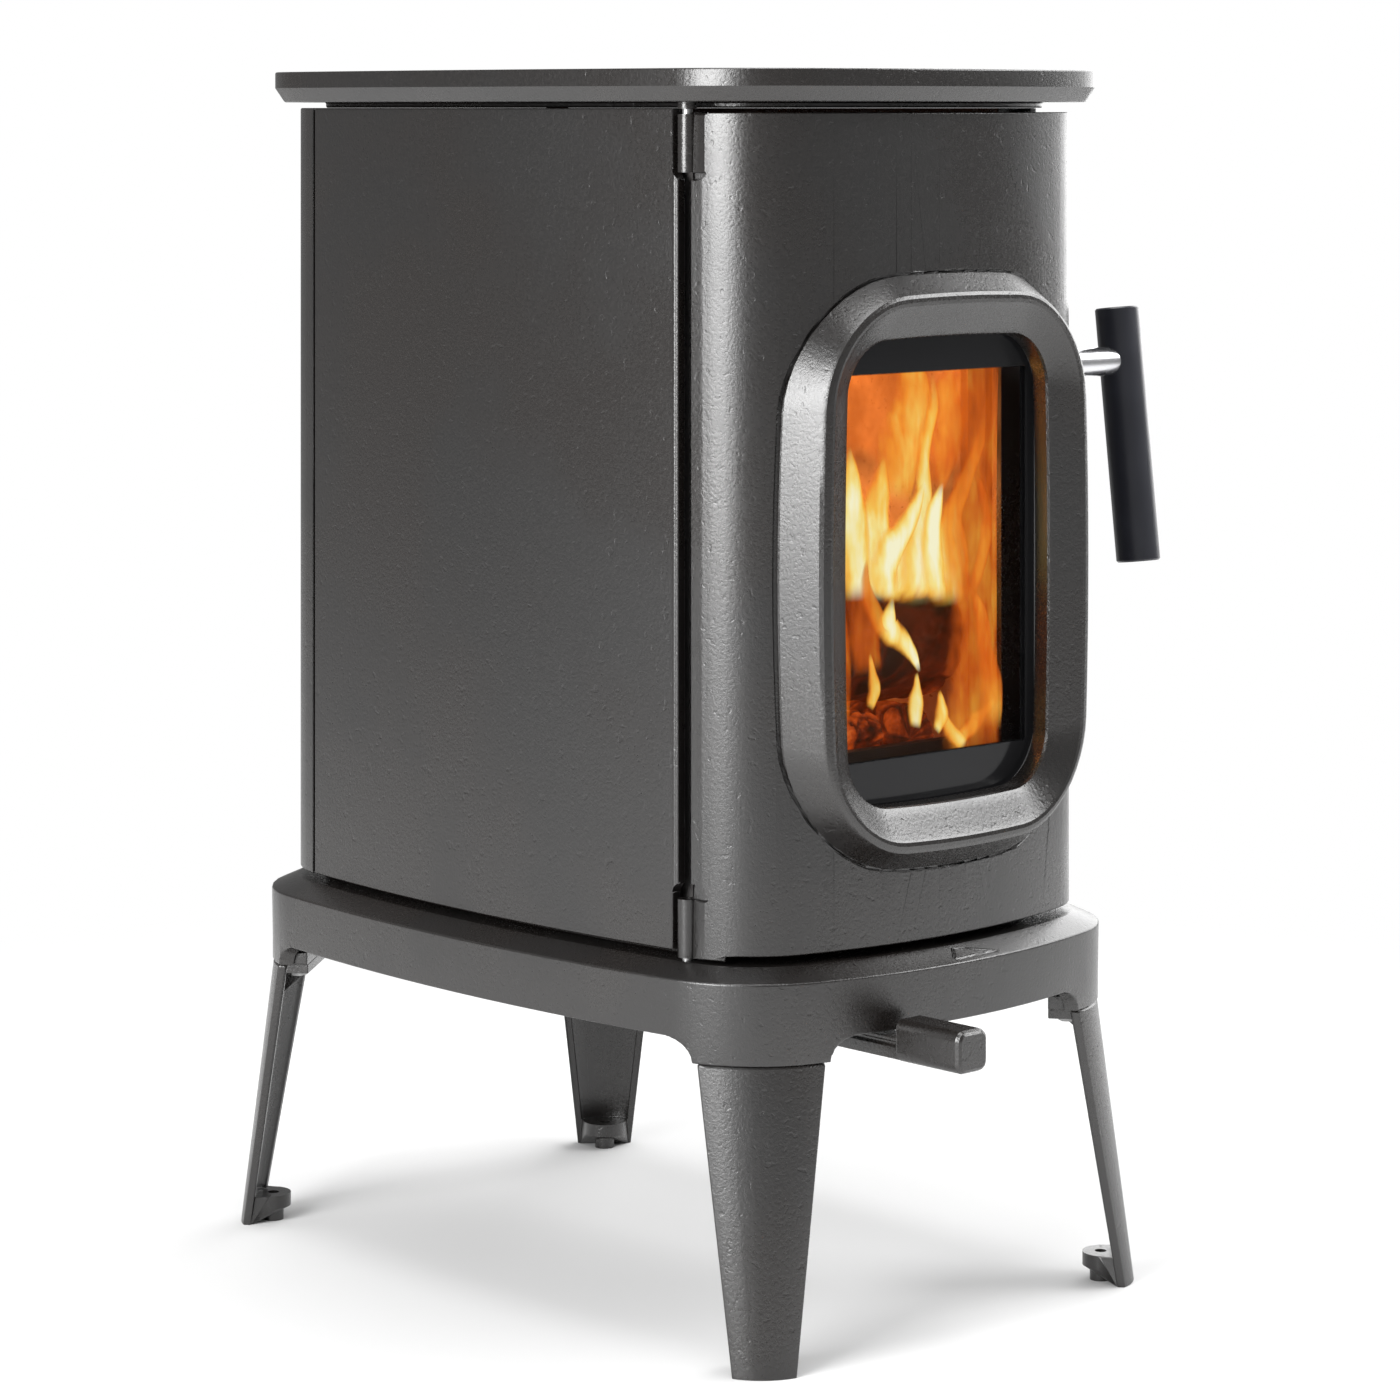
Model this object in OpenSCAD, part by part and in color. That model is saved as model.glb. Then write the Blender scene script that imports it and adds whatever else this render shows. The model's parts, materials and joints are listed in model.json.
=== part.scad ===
// Small cast iron wood stove on four splayed corner legs, with a bowed body,
// a deep curved door with a raised window surround, and a hanging door handle.
// Millimetres. +Z is up, the door faces -Y, the hinge is at -X and the handle at +X.
// The origin lies on the floor, under the middle of the four legs.

/* [Body] */
// Height from the floor to the top face
stove_h = 728; // [690:1:820]
// Width of the body at its widest, without the ledge
body_w = 320; // [310:1:360]
// From the middle of the legs to the flat back
back_reach = 224.5; // [218:0.5:250]
// Radius of the bowed sides in plan
side_r = 1282; // [1000:1:3000]
// Radius of the bowed front in plan
front_r = 382; // [340:1:600]
// Radius of the four vertical corners
corner_r = 57; // [52:1:62]
// Thickness of the cast walls
wall = 6; // [5:0.5:8]
// How far the base ledge stands out from the body
ledge = 18; // [12:1:24]
// Floor to the underside of the base skirt
skirt_z = 182.5; // [170:0.5:200]
// Height of the base casting, from the skirt's edge to its floor
base_h = 39.5; // [36:0.5:50]

/* [Top] */
// Height of the top plate's upright edge
top_band = 10; // [6:1:14]
// Height of the chamfer below that edge
top_chamfer = 9; // [5:1:14]
// How far the chamfer runs in
top_chamfer_in = 6; // [4:1:9]
// Open gap between the top plate and the panels
top_gap = 3.5; // [2:0.5:6]
// Hole in the top plate for an upright flue
lid_hole_r = 62; // [50:1:68]

/* [Legs] */
// Length of the corner sockets below the skirt
socket_h = 13.5; // [10:0.5:20]
// Width of a leg's channel where it meets the base
leg_top_w = 72; // [60:1:76]
// Width of a leg's channel at the floor
leg_foot_w = 36; // [28:1:44]
// How far a leg leans out from its top to the floor
leg_splay = 22; // [8:1:28]
// Direction of the legs, counted from sideways towards the front or back
leg_dir = 50; // [42:1:54]
// Thickness of the leg castings
leg_wall = 4.5; // [4:0.5:8]
// Radius of the hole in each foot
foot_hole_r = 3.6; // [2.5:0.1:4.5]

/* [Door] */
// Gap in the body side between the panel and the door
door_gap = 9; // [8.5:0.5:11]
// How far the panels' edges stop short of the front corners' middle
panel_short = 2.5; // [0:0.5:6]
// Gap between the door and the base below it
door_base_gap = 5; // [3:0.5:8]
// Gap between the top of the door and the top plate's rim
door_top_gap = 2.5; // [1.5:0.5:5]
// Radius of the hinge knuckles
knuckle_r = 5.5; // [5.3:0.1:6]
// Radius of the hinge pins
pin_r = 3; // [2:0.1:3.4]
// Radial room between a pin or the handle shaft and its bore
running_fit = 0.05; // [0.02:0.01:0.09]
// Height of a hinge knuckle
knuckle_h = 33; // [24:1:40]

/* [Window] */
// Outer width of the raised window surround
surround_w = 242; // [220:1:246]
// Outer height of the surround
surround_h = 342; // [320:1:350]
// Corner radius of the surround
surround_r = 74; // [60:1:90]
// Height of the middle of the window
window_z = 439.5; // [433:0.5:448]
// Width of the slope from the surround's outline to the opening
surround_band = 36.5; // [34:0.5:42]
// How far the surround stands out in front of the door
surround_out = 12; // [8:1:18]
// Radius of the surround's own shallow bow
surround_bow_r = 1200; // [900:10:2500]
// Thickness of the glass
glass_t = 4; // [3:0.5:5]
// How far the glass laps over the opening's edge
glass_lap = 11; // [9:0.5:12]

/* [Handle] */
// Radius of the handle grip
grip_r = 13.5; // [12:0.5:16]
// Length of the grip
grip_l = 157; // [120:1:170]
// How far the grip rises above the stem
grip_above = 33; // [26:1:45]
// Forward lean of the grip
grip_lean = 6.6; // [0:0.1:12]
// Radius of the bright stem
stem_r = 9; // [8:0.5:10]
// Height of the handle's axis
handle_z = 549; // [538:1:563]
// From the middle of the stove to the grip's axis
grip_x = 205; // [196:1:225]
// Radius of the shaft that turns in the door
shaft_r = 7; // [5:0.5:7.5]

/* [Flue] */
// Inner radius of the rear flue collar
flue_r = 60.5; // [50:0.5:64]
// Length of the flue collar
flue_l = 40; // [30:1:60]
// From the top face down to the flue's axis
flue_drop = 105; // [102:1:112]

/* [Firebox] */
// Thickness of the fire bricks
brick_t = 22; // [18:1:25]
// Half the width of the opening behind the door
mouth_w = 100; // [94:1:102]
// Height of the hearth plate's top face
hearth_z = 291; // [285:1:297]
// From the top face down to the baffle's lower face
baffle_drop = 171; // [166:1:180]
// Thickness of the baffle and the hearth plate
plate_t = 7; // [5:0.5:8]
// Radius of the sealing rope round the door
rope_r = 4.5; // [3.5:0.5:5]

/* [Air control] */
// From the middle of the stove to the lever when the air is fully open
lever_x = 60; // [54:1:64]
// How far the lever stands out in front of the ledge
lever_out = 56; // [40:1:70]
// Width of the lever's finger grip
lever_w = 24; // [18:1:28]
// Height of the lever's finger grip
lever_h = 24; // [18:1:26]
// Width of each air slot
slot_l = 20; // [12:1:22]

/* [Hidden] */
iron = [0.23, 0.23, 0.24];
dark_iron = [0.17, 0.17, 0.18];
steel = [0.62, 0.63, 0.65];
brick = [0.72, 0.63, 0.52];
rope_grey = [0.33, 0.33, 0.32];
grip_black = [0.12, 0.12, 0.14];
eps = 0.01;
seat_gap = 0.1;
far = 800;
round_fn = 64;

// Heights
base_top = skirt_z + base_h;
lip_z = base_top - 7;
plate_z = stove_h - top_band - top_chamfer;
panel_top = plate_z - top_gap;
panel_bottom = base_top + door_base_gap;
door_bottom = panel_bottom;
door_top = panel_top - door_top_gap;
flue_z = stove_h - flue_drop;
baffle_z = stove_h - baffle_drop;
leg_h = skirt_z - socket_h;

// Plan geometry: each corner arc touches the bowed side and the front or back
side_c = side_r - body_w / 2;
corner_y = back_reach - corner_r;
corner_x = sqrt(pow(side_r - corner_r, 2) - pow(corner_y, 2)) - side_c;
front_cy = sqrt(pow(front_r - corner_r, 2) - pow(corner_x, 2)) - corner_y;
front_reach = front_r - front_cy;
function arc(c, r, a0, a1, n) =
  [for (i = [0:n]) c + r * [cos(a0 + (a1 - a0) * i / n), sin(a0 + (a1 - a0) * i / n)]];
function tail(list) = [for (i = [1:len(list) - 1]) list[i]];
function mirrored(list) = [for (i = [len(list) - 1:-1:1]) [-list[i][0], list[i][1]]];
front_turn = atan2(-corner_y - front_cy, corner_x);
side_turn = atan2(corner_y, corner_x + side_c);
function half_outline(g) = concat(
  arc([0, front_cy], front_r + g, -90, front_turn, 10),
  tail(arc([corner_x, -corner_y], corner_r + g, front_turn, -side_turn, 9)),
  tail(arc([-side_c, 0], side_r + g, -side_turn, side_turn, 14)),
  tail(arc([corner_x, corner_y], corner_r + g, side_turn, 90, 9)));
function side_x(y) = sqrt(side_r * side_r - y * y) - side_c;
function front_y(x) = front_cy - sqrt(front_r * front_r - x * x);

// Places that several parts share
panel_front = corner_y - panel_short;
door_back = -(panel_front + door_gap);
return_y = panel_front - 11;
frame_edge = side_x(panel_front) - wall - 6.5;
groove_d = 4;

// The body's outline, moved out by g
module plan(g) {
  polygon(concat(half_outline(g), mirrored(half_outline(g))));
}
module slab(g, z0, z1) {
  translate([0, 0, z0]) linear_extrude(z1 - z0) plan(g);
}
module skin(g, t, z0, z1) {
  difference() {
    slab(g, z0, z1);
    slab(g - t, z0 - 1, z1 + 1);
  }
}
module band(g0, z0, g1, z1) {
  hull() {
    slab(g0, z0, z0 + eps);
    slab(g1, z1 - eps, z1);
  }
}
module box(lo, hi) {
  translate(lo) cube(hi - lo);
}
// An upright plate in the XZ plane with round corners, from y0 to y1
module round_rect(w, h, r) {
  for (sx = [-1, 1], sz = [-1, 1])
    translate([sx * (w / 2 - r), sz * (h / 2 - r)]) circle(r, $fn = round_fn);
  square([w - 2 * r, h], center = true);
  square([w, h - 2 * r], center = true);
}
module upright(y0, y1, z) {
  translate([0, y1, z]) rotate([90, 0, 0]) linear_extrude(y1 - y0) children();
}
module tube_x(r, x0, x1) {
  translate([x0, 0, 0]) rotate([0, 90, 0]) cylinder(r = r, h = x1 - x0, $fn = round_fn);
}
module tube_y(r, y0, y1) {
  translate([0, y1, 0]) rotate([90, 0, 0]) cylinder(r = r, h = y1 - y0, $fn = round_fn);
}
// A hex head screw along +Z, its head below z = 0 and its shank above
module hex_screw(head_r, head_h, r, l) {
  translate([0, 0, -head_h]) cylinder(r = head_r, h = head_h, $fn = 6);
  cylinder(r = r, h = l, $fn = 32);
}

// Base casting: a tray turned over, with a flared skirt, a sloping ledge,
// four leg sockets and the rails of the air slide under its floor
skirt_draft = 0.5;
skirt_t = 8;
floor_t = 8;
base_floor_z = base_top - floor_t;
socket_fillet = 18;
socket_in = 2;
socket_over = 0.4;
socket_half = leg_top_w / 2 + 3;
leg_arc_r = corner_r + ledge - 1;
leg_flange_in = 28;
leg_bolt_r = 3;
leg_bolt_u = leg_arc_r - 17;
leg_bolt_v = 14;
leg_bolt_l = 22;
bolt_boss_r = 8;
slide_t = 3;
slide_front = panel_front + 35;
slide_deep = 44;
slide_travel = 2 * slot_l + 4;
slot_pitch = slide_travel + slot_l + 2;
slide_x0 = -slot_pitch / 2 - slot_l / 2 - slide_travel - 2;
slide_x1 = slot_pitch / 2 + slot_l / 2 + 2;
rail_t = 5;
rail_lip = 3;
rail_room = 0.5;
slot_w = 11;
pan_rail_x = 70;
module at_corner(sx, sy) {
  mirror([sx < 0 ? 1 : 0, 0, 0]) mirror([0, sy < 0 ? 1 : 0, 0])
    translate([corner_x, corner_y, 0]) rotate([0, 0, leg_dir]) children();
}
module at_leg_bolts() {
  for (v = [-leg_bolt_v, leg_bolt_v])
    translate([leg_bolt_u, v, 0]) children();
}
module socket_profile() {
  drop = min(socket_h, socket_fillet);
  rise = [for (i = [0:6]) [socket_half + socket_fillet * (1 - cos(15 * i)),
                           -drop + (drop + socket_over) * sin(15 * i)]];
  polygon(concat([[-socket_half, -socket_h], [socket_half, -socket_h]], rise,
                 [[socket_half + socket_fillet, 1], [-socket_half - socket_fillet, 1]],
                 [for (i = [6:-1:0]) [-rise[i][0], rise[i][1]]]));
}
module slide_slots() {
  for (i = [-1, 1], k = [0, 1])
    translate([i * slot_pitch / 2, -slide_front + slide_deep / 2 + (2 * k - 1) * slot_w])
      square([slot_l, slot_w], center = true);
}
// Runs of the air slide's rails, one at its front and one at its back edge
module slide_rail() {
  web = slide_t + 2 * rail_room + rail_t;
  translate([slide_x0 - 2, 0, base_floor_z - web]) {
    cube([slide_x1 - slide_x0 + slide_travel + 4, rail_t, web + 1]);
    cube([slide_x1 - slide_x0 + slide_travel + 4, rail_t + rail_room + rail_lip, rail_t]);
  }
}
// A fine triangle cut into the slope of the ledge, over the air lever's way
mark_deep = 0.6;
mark_line = 1.1;
module slope_mark() {
  translate([0, -front_reach, 0]) difference() {
    translate([0, 0, lip_z - mark_deep]) linear_extrude(base_top - lip_z + 2) difference() {
      mark_shape();
      offset(delta = -mark_line) mark_shape();
    }
    translate([0, front_reach, -mark_deep]) band(ledge, lip_z, ledge - 16, base_top);
  }
}
module mark_shape() {
  polygon([[-5, -4], [-14.5, -ledge + 3.5], [25, -ledge + 5]]);
}
module base() color(iron) difference() {
  union() {
    difference() {
      union() {
        band(ledge - skirt_draft, skirt_z, ledge, lip_z);
        band(ledge, lip_z, ledge - 16, base_top);
      }
      slab(ledge - skirt_draft - skirt_t, skirt_z - 1, lip_z - 8);
      slab(ledge - 30, skirt_z, base_floor_z);
    }
    // Leg sockets: a floor in each corner, and a swept drop of the skirt round it
    intersection() {
      skin(ledge - skirt_draft, skirt_t, leg_h, skirt_z + 1);
      for (sx = [-1, 1], sy = [-1, 1])
        at_corner(sx, sy) translate([0, 0, skirt_z]) rotate([90, 0, 90])
          linear_extrude(far) socket_profile();
    }
    intersection() {
      slab(ledge - skirt_draft - skirt_t / 2, leg_h, leg_h + floor_t);
      for (sx = [-1, 1], sy = [-1, 1])
        at_corner(sx, sy) translate([leg_arc_r - leg_flange_in, -socket_half + socket_in, 0])
          cube([far, 2 * (socket_half - socket_in), far]);
    }
    for (sx = [-1, 1], sy = [-1, 1])
      at_corner(sx, sy) at_leg_bolts() translate([0, 0, leg_h])
        cylinder(r = bolt_boss_r, h = base_floor_z - leg_h + 1, $fn = round_fn);
    translate([0, -slide_front - rail_t - rail_room, 0]) slide_rail();
    translate([0, -slide_front + slide_deep + rail_t + rail_room, 0]) mirror([0, 1, 0]) slide_rail();
    // Rim that the panels stand on, and the ash pan's rails
    intersection() {
      skin(-rim_in, rim_t, base_top - 1, panel_bottom - seat_gap);
      box([-far, -return_y + 1, 0], [far, far, far]);
    }
    for (s = [-1, 1])
      translate([s * pan_rail_x - 4, -return_y + 2, base_top - 1])
        cube([8, pan_y1 + return_y - 2, pan_z - seat_gap - base_top + 1]);
  }
  for (sx = [-1, 1], sy = [-1, 1])
    at_corner(sx, sy) at_leg_bolts() translate([0, 0, leg_h - 1])
      cylinder(r = leg_bolt_r, h = leg_bolt_l + 2, $fn = 32);
  translate([0, 0, base_floor_z - 1]) linear_extrude(floor_t + 2) slide_slots();
  translate([hinge_x, hinge_y, base_top - 14]) cylinder(r = pin_r, h = 20, $fn = 32);
  slope_mark();
}

// Legs: a tapered shell that follows the corner, with a bolting flange, a gusset
// and a raised round-ended pad with a hole; the hole's boss stands on the floor
leg_edge = leg_wall;
flange_t = 6;
pad_low = 9;
pad_high = 17;
pad_in = 31;
pad_r = leg_foot_w / 2 - 4;
hole_in = 20;
hole_boss_r = 6.5;
gusset_drop = 24;
function channel(w, u, back) =
  let (r = w * leg_arc_r / leg_top_w, a = asin(w / 2 / r))
  concat([[u - r * (1 - cos(a)) - back, -w / 2]], arc([u - r, 0], r, -a, a, 12),
         [[u - r * (1 - cos(a)) - back, w / 2]]);
module leg_section(w, u, back, z, t) {
  translate([0, 0, z]) linear_extrude(t) polygon(channel(w, u, back));
}
module leg() color(iron) {
  u_top = leg_arc_r;
  u_foot = leg_arc_r + leg_splay;
  top_z = leg_h - seat_gap;
  difference() {
    union() {
      difference() {
        hull() {
          leg_section(leg_top_w - 2, u_top - 1, leg_edge, top_z - eps, eps);
          leg_section(leg_top_w, u_top, leg_edge, top_z - 1.5, eps);
          leg_section(leg_foot_w, u_foot, leg_edge, 0, eps);
        }
        hull() {
          leg_section(leg_top_w - 2 * leg_wall, u_top - leg_wall, far, leg_h + 1, eps);
          leg_section(leg_foot_w - 2 * leg_wall, u_foot - leg_wall, far, -1, eps);
        }
      }
      intersection() {
        leg_section(leg_top_w - 4, u_top - 2, far, top_z - flange_t, flange_t);
        translate([u_top - leg_flange_in, -far / 2, 0]) cube([far, far, far]);
      }
      rotate([90, 0, 0]) translate([0, 0, -leg_wall / 2]) linear_extrude(leg_wall)
        polygon([[u_top - leg_wall / 2 + leg_splay * gusset_drop / leg_h, top_z - flange_t - gusset_drop],
                 [u_top - leg_wall / 2, top_z - flange_t + 1],
                 [u_top - leg_flange_in + 1, top_z - flange_t + 1]]);
      hull() {
        translate([u_foot - pad_in + pad_r, 0, pad_low])
          cylinder(r = pad_r, h = pad_high - pad_low, $fn = round_fn);
        leg_section(leg_foot_w - 4, u_foot - 3, 2, pad_low, pad_high - pad_low);
        leg_section(leg_foot_w - 3, u_foot - 1, leg_edge, 0, eps);
      }
      translate([u_foot - hole_in, 0, 0]) cylinder(r = hole_boss_r, h = pad_low + 1, $fn = 32);
    }
    translate([u_foot - hole_in, 0, -1]) cylinder(r = foot_hole_r, h = pad_high + 2, $fn = 32);
    at_leg_bolts() translate([0, 0, leg_h - flange_t - 1])
      cylinder(r = leg_bolt_r + 0.5, h = flange_t + 2, $fn = 32);
  }
}
module leg_front_left() {
  at_corner(-1, -1) leg();
}
module leg_front_right() {
  at_corner(1, -1) leg();
}
module leg_rear_left() {
  at_corner(-1, 1) leg();
}
module leg_rear_right() {
  at_corner(1, 1) leg();
}
module leg_bolts() color(steel) {
  for (sx = [-1, 1], sy = [-1, 1])
    at_corner(sx, sy) at_leg_bolts() translate([0, 0, leg_h - seat_gap - flange_t])
      hex_screw(5.8, 4.5, leg_bolt_r - 0.05, leg_bolt_l);
}

// Side panels: bowed plates with a rolled edge by the door and inner flanges
panel_back = corner_y + 5;
flange_in = 22;
return_in = 18;
bead_r = 3.4;
hinge_y = -(panel_front + door_gap / 2);
hinge_x = -(side_x(hinge_y) - knuckle_r / 2);
knuckle_bottom = base_top + 2;
pocket_w = 25;
pocket_r = 7;
pocket_over = 9;
screw_r = 2.5;
screw_x = frame_edge - 5;
keeper_top = 46;
screw_zs = [panel_bottom + 70, (handle_z + keeper_top + panel_top) / 2];
module side_zone(y0, y1) {
  box([0, y0, 0], [far, y1, far]);
}
module side_panel() {
  difference() {
    union() {
      intersection() {
        skin(0, wall, panel_bottom, panel_top);
        side_zone(-panel_front, panel_back);
      }
      intersection() {
        union() {
          skin(-wall + eps, flange_in - wall, panel_top - wall, panel_top);
          skin(-wall + eps, flange_in - wall, panel_bottom, panel_bottom + wall);
        }
        side_zone(-return_y, panel_back);
      }
      intersection() {
        skin(-wall + eps, return_in, panel_bottom, panel_top);
        union() {
          side_zone(-return_y, -return_y + wall);
          side_zone(panel_back - wall, panel_back);
        }
      }
      translate([side_x(panel_front) - bead_r + 0.6, -panel_front + bead_r, panel_bottom])
        cylinder(r = bead_r, h = panel_top - panel_bottom, $fn = 32);
      for (y = [-90, 90])
        box([side_x(panel_front) - 24, y - 14, hearth_z - plate_t - 8],
            [side_x(y) - wall / 2, y + 14, hearth_z - plate_t - seat_gap]);
    }
    for (z = screw_zs)
      translate([screw_x, 0, z]) {
        tube_y(screw_r, -return_y - 1, -return_y + wall + 1);
        tube_y(screw_r, panel_back - wall - 1, panel_back + 1);
      }
  }
}
module side_panel_right() color(iron) {
  side_panel();
}
module hinge_pockets() {
  spans = [[panel_bottom - 12, knuckle_bottom + knuckle_h + pocket_over],
           [door_top - knuckle_h - 1 - pocket_over / 2, panel_top + 12]];
  for (span = spans)
    translate([hinge_x - 12, hinge_y - 4, (span[0] + span[1]) / 2]) rotate([90, 0, 90])
      linear_extrude(knuckle_r + 15) round_rect(pocket_w, span[1] - span[0], pocket_r);
}
module side_panel_left() color(iron) difference() {
  mirror([1, 0, 0]) side_panel();
  hinge_pockets();
}

// Rear panel: wraps both back corners and carries the flue collar
seam_gap = 1.6;
module rear_panel() color(iron) difference() {
  union() {
    intersection() {
      union() {
        skin(0, wall, panel_bottom, panel_top);
        skin(0, flange_in, panel_top - wall, panel_top);
        skin(0, flange_in, panel_bottom, panel_bottom + wall);
      }
      box([-far, panel_back + seam_gap, 0], [far, far, far]);
    }
    for (s = [-1, 1])
      scale([s, 1, 1]) intersection() {
        skin(-wall + eps, return_in, panel_bottom, panel_top);
        side_zone(panel_back + seam_gap, panel_back + seam_gap + wall);
      }
  }
  for (s = [-1, 1], z = screw_zs)
    translate([s * screw_x, 0, z]) tube_y(screw_r, panel_back, panel_back + seam_gap + wall + 1);
  translate([0, 0, flue_z]) tube_y(flue_r + 1, back_reach - wall - 1, back_reach + 1);
  for (a = [45:90:315])
    translate([collar_pcd_r * cos(a), 0, flue_z + collar_pcd_r * sin(a)])
      tube_y(screw_r, back_reach - wall - 1, back_reach + 1);
}

// Front frame: the flat casting that the door closes on
frame_t = 10;
frame_y0 = -(return_y + frame_t) - seat_gap;
frame_z0 = base_top + seat_gap;
frame_z1 = panel_top - wall - seat_gap;
mouth_z0 = base_top + 21;
mouth_top_in = 67;
mouth_z1 = panel_top - mouth_top_in;
land = 18;
rope_out = land / 2;
mouth_r = 10;
rope_y = door_back - groove_d + rope_r + seat_gap;
seal_y = rope_y + rope_r + 0.3;
module mouth(grow) {
  round_rect(2 * (mouth_w + grow), mouth_z1 - mouth_z0 + 2 * grow, mouth_r + grow);
}
module front_frame() color(dark_iron) difference() {
  union() {
    box([-frame_edge, frame_y0, frame_z0], [frame_edge, frame_y0 + frame_t, frame_z1]);
    upright(seal_y, frame_y0 + 1, (mouth_z0 + mouth_z1) / 2) mouth(land);
  }
  upright(seal_y - 1, frame_y0 + frame_t + 1, (mouth_z0 + mouth_z1) / 2) mouth(0);
  for (s = [-1, 1], z = screw_zs)
    translate([s * screw_x, 0, z]) tube_y(screw_r, seal_y - 1, frame_y0 + frame_t + 1);
  at_keeper_screw() tube_y(screw_r, frame_y0 - 1, frame_y0 + frame_t + 1);
}
module panel_screws() color(steel) {
  for (s = [-1, 1], z = screw_zs) {
    translate([s * screw_x, frame_y0 - seat_gap, z]) rotate([-90, 0, 0])
      hex_screw(4, 2.5, screw_r - 0.05, frame_t + wall);
    translate([s * screw_x, panel_back - wall - seat_gap, z]) rotate([-90, 0, 0])
      hex_screw(4, 2.5, screw_r - 0.05, seam_gap + 2 * wall);
  }
  at_keeper_screw() translate([0, frame_y0 - keeper_t - 2 * seat_gap, 0]) rotate([-90, 0, 0])
    hex_screw(4, 2.5, screw_r - 0.05, keeper_t + frame_t - 2);
}

// Top plate: an upright edge over a chamfer, hollow below, with a locating rim
top_out = ledge - 2;
top_t = 8;
rim_in = 16;
rim_t = 6;
lid_r = lid_hole_r + 8;
lid_t = 5;
lid_y = corner_y - 55;
module top_plate() color(iron) difference() {
  union() {
    difference() {
      union() {
        slab(top_out, stove_h - top_band, stove_h);
        band(top_out - top_chamfer_in, plate_z, top_out, stove_h - top_band);
      }
      slab(-rim_in - rim_t, plate_z - 1, stove_h - top_t);
    }
    skin(-rim_in, rim_t, panel_top + seat_gap, plate_z + 1);
    translate([hinge_x, hinge_y, panel_top - door_top_gap + 2])
      cylinder(r = knuckle_r, h = plate_z - door_top + door_top_gap - 1, $fn = round_fn);
    translate([0, lid_y, stove_h - top_t - 6]) cylinder(r = lid_r + 4, h = 8, $fn = 96);
  }
  translate([0, lid_y, stove_h - lid_t]) cylinder(r = lid_r + 0.4, h = lid_t + 1, $fn = 96);
  translate([0, lid_y, plate_z - 8]) cylinder(r = lid_hole_r, h = 40, $fn = 96);
  translate([hinge_x, hinge_y, plate_z - 20]) cylinder(r = pin_r, h = 30, $fn = 32);
}
module flue_lid() color(iron) {
  translate([0, lid_y, stove_h - lid_t + seat_gap]) cylinder(r = lid_r, h = lid_t - seat_gap, $fn = 96);
  translate([0, lid_y, stove_h - top_t - 3]) difference() {
    cylinder(r = lid_hole_r - 0.5, h = top_t + 1, $fn = 96);
    translate([0, 0, -1]) cylinder(r = lid_hole_r - 5, h = top_t, $fn = 96);
  }
}
module lid_clamp() color(steel) {
  clamp_z = stove_h - top_t - 6 - seat_gap;
  translate([-lid_r - 2, lid_y - 9, clamp_z - 4]) cube([2 * lid_r + 4, 18, 4]);
  translate([0, lid_y, clamp_z - 9]) cylinder(r = 7.5, h = 5, $fn = 6);
  translate([0, lid_y, clamp_z - 4]) cylinder(r = 4, h = 10.9, $fn = 32);
}

// Rear flue collar and its screws
collar_t = 5.5;
collar_pcd_r = flue_r + 11;
collar_flange_r = flue_r + 17;
module flue_collar() color(iron) translate([0, 0, flue_z]) difference() {
  union() {
    tube_y(collar_flange_r, back_reach + seat_gap, back_reach + 7);
    tube_y(flue_r + collar_t, back_reach + seat_gap, back_reach + flue_l);
    tube_y(flue_r + collar_t + 2, back_reach + flue_l - 6, back_reach + flue_l);
  }
  tube_y(flue_r, back_reach - 1, back_reach + flue_l + 1);
  for (a = [45:90:315])
    translate([collar_pcd_r * cos(a), 0, collar_pcd_r * sin(a)])
      tube_y(screw_r + 0.2, back_reach - 1, back_reach + 8);
}
module collar_screws() color(steel) {
  for (a = [45:90:315])
    translate([collar_pcd_r * cos(a), back_reach + 7, flue_z + collar_pcd_r * sin(a)])
      rotate([90, 0, 0]) hex_screw(4.2, 3, screw_r - 0.05, wall + 8);
}

// Hinge pins: the lower one stands in the base, the upper one hangs from the top plate
module hinge_pin_bottom() color(steel) {
  translate([hinge_x, hinge_y, base_top - 12])
    cylinder(r = pin_r - running_fit, h = knuckle_bottom + knuckle_h - base_top + 4, $fn = 32);
}
module hinge_pin_top() color(steel) {
  translate([hinge_x, hinge_y, door_top - knuckle_h + 8])
    cylinder(r = pin_r - running_fit, h = plate_z + 6 - door_top + knuckle_h - 8, $fn = 32);
}

// Hearth, grate and log guard
hearth_half = side_x(panel_front) - wall - 2;
hearth_y0 = frame_y0 + frame_t + seat_gap;
inner_back = panel_back - wall - 4;
hearth_y1 = inner_back + brick_t + 6;
inner_half = corner_x + sqrt(pow(corner_r - wall - return_in, 2)
                             - pow(hearth_y1 - corner_y, 2)) - 2;
grate_half = 78;
grate_y = 4;
grate_half_y = corner_y - 71.5;
bar_gap = 9;
bar_w = 9;
bar_margin = 26;
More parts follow.
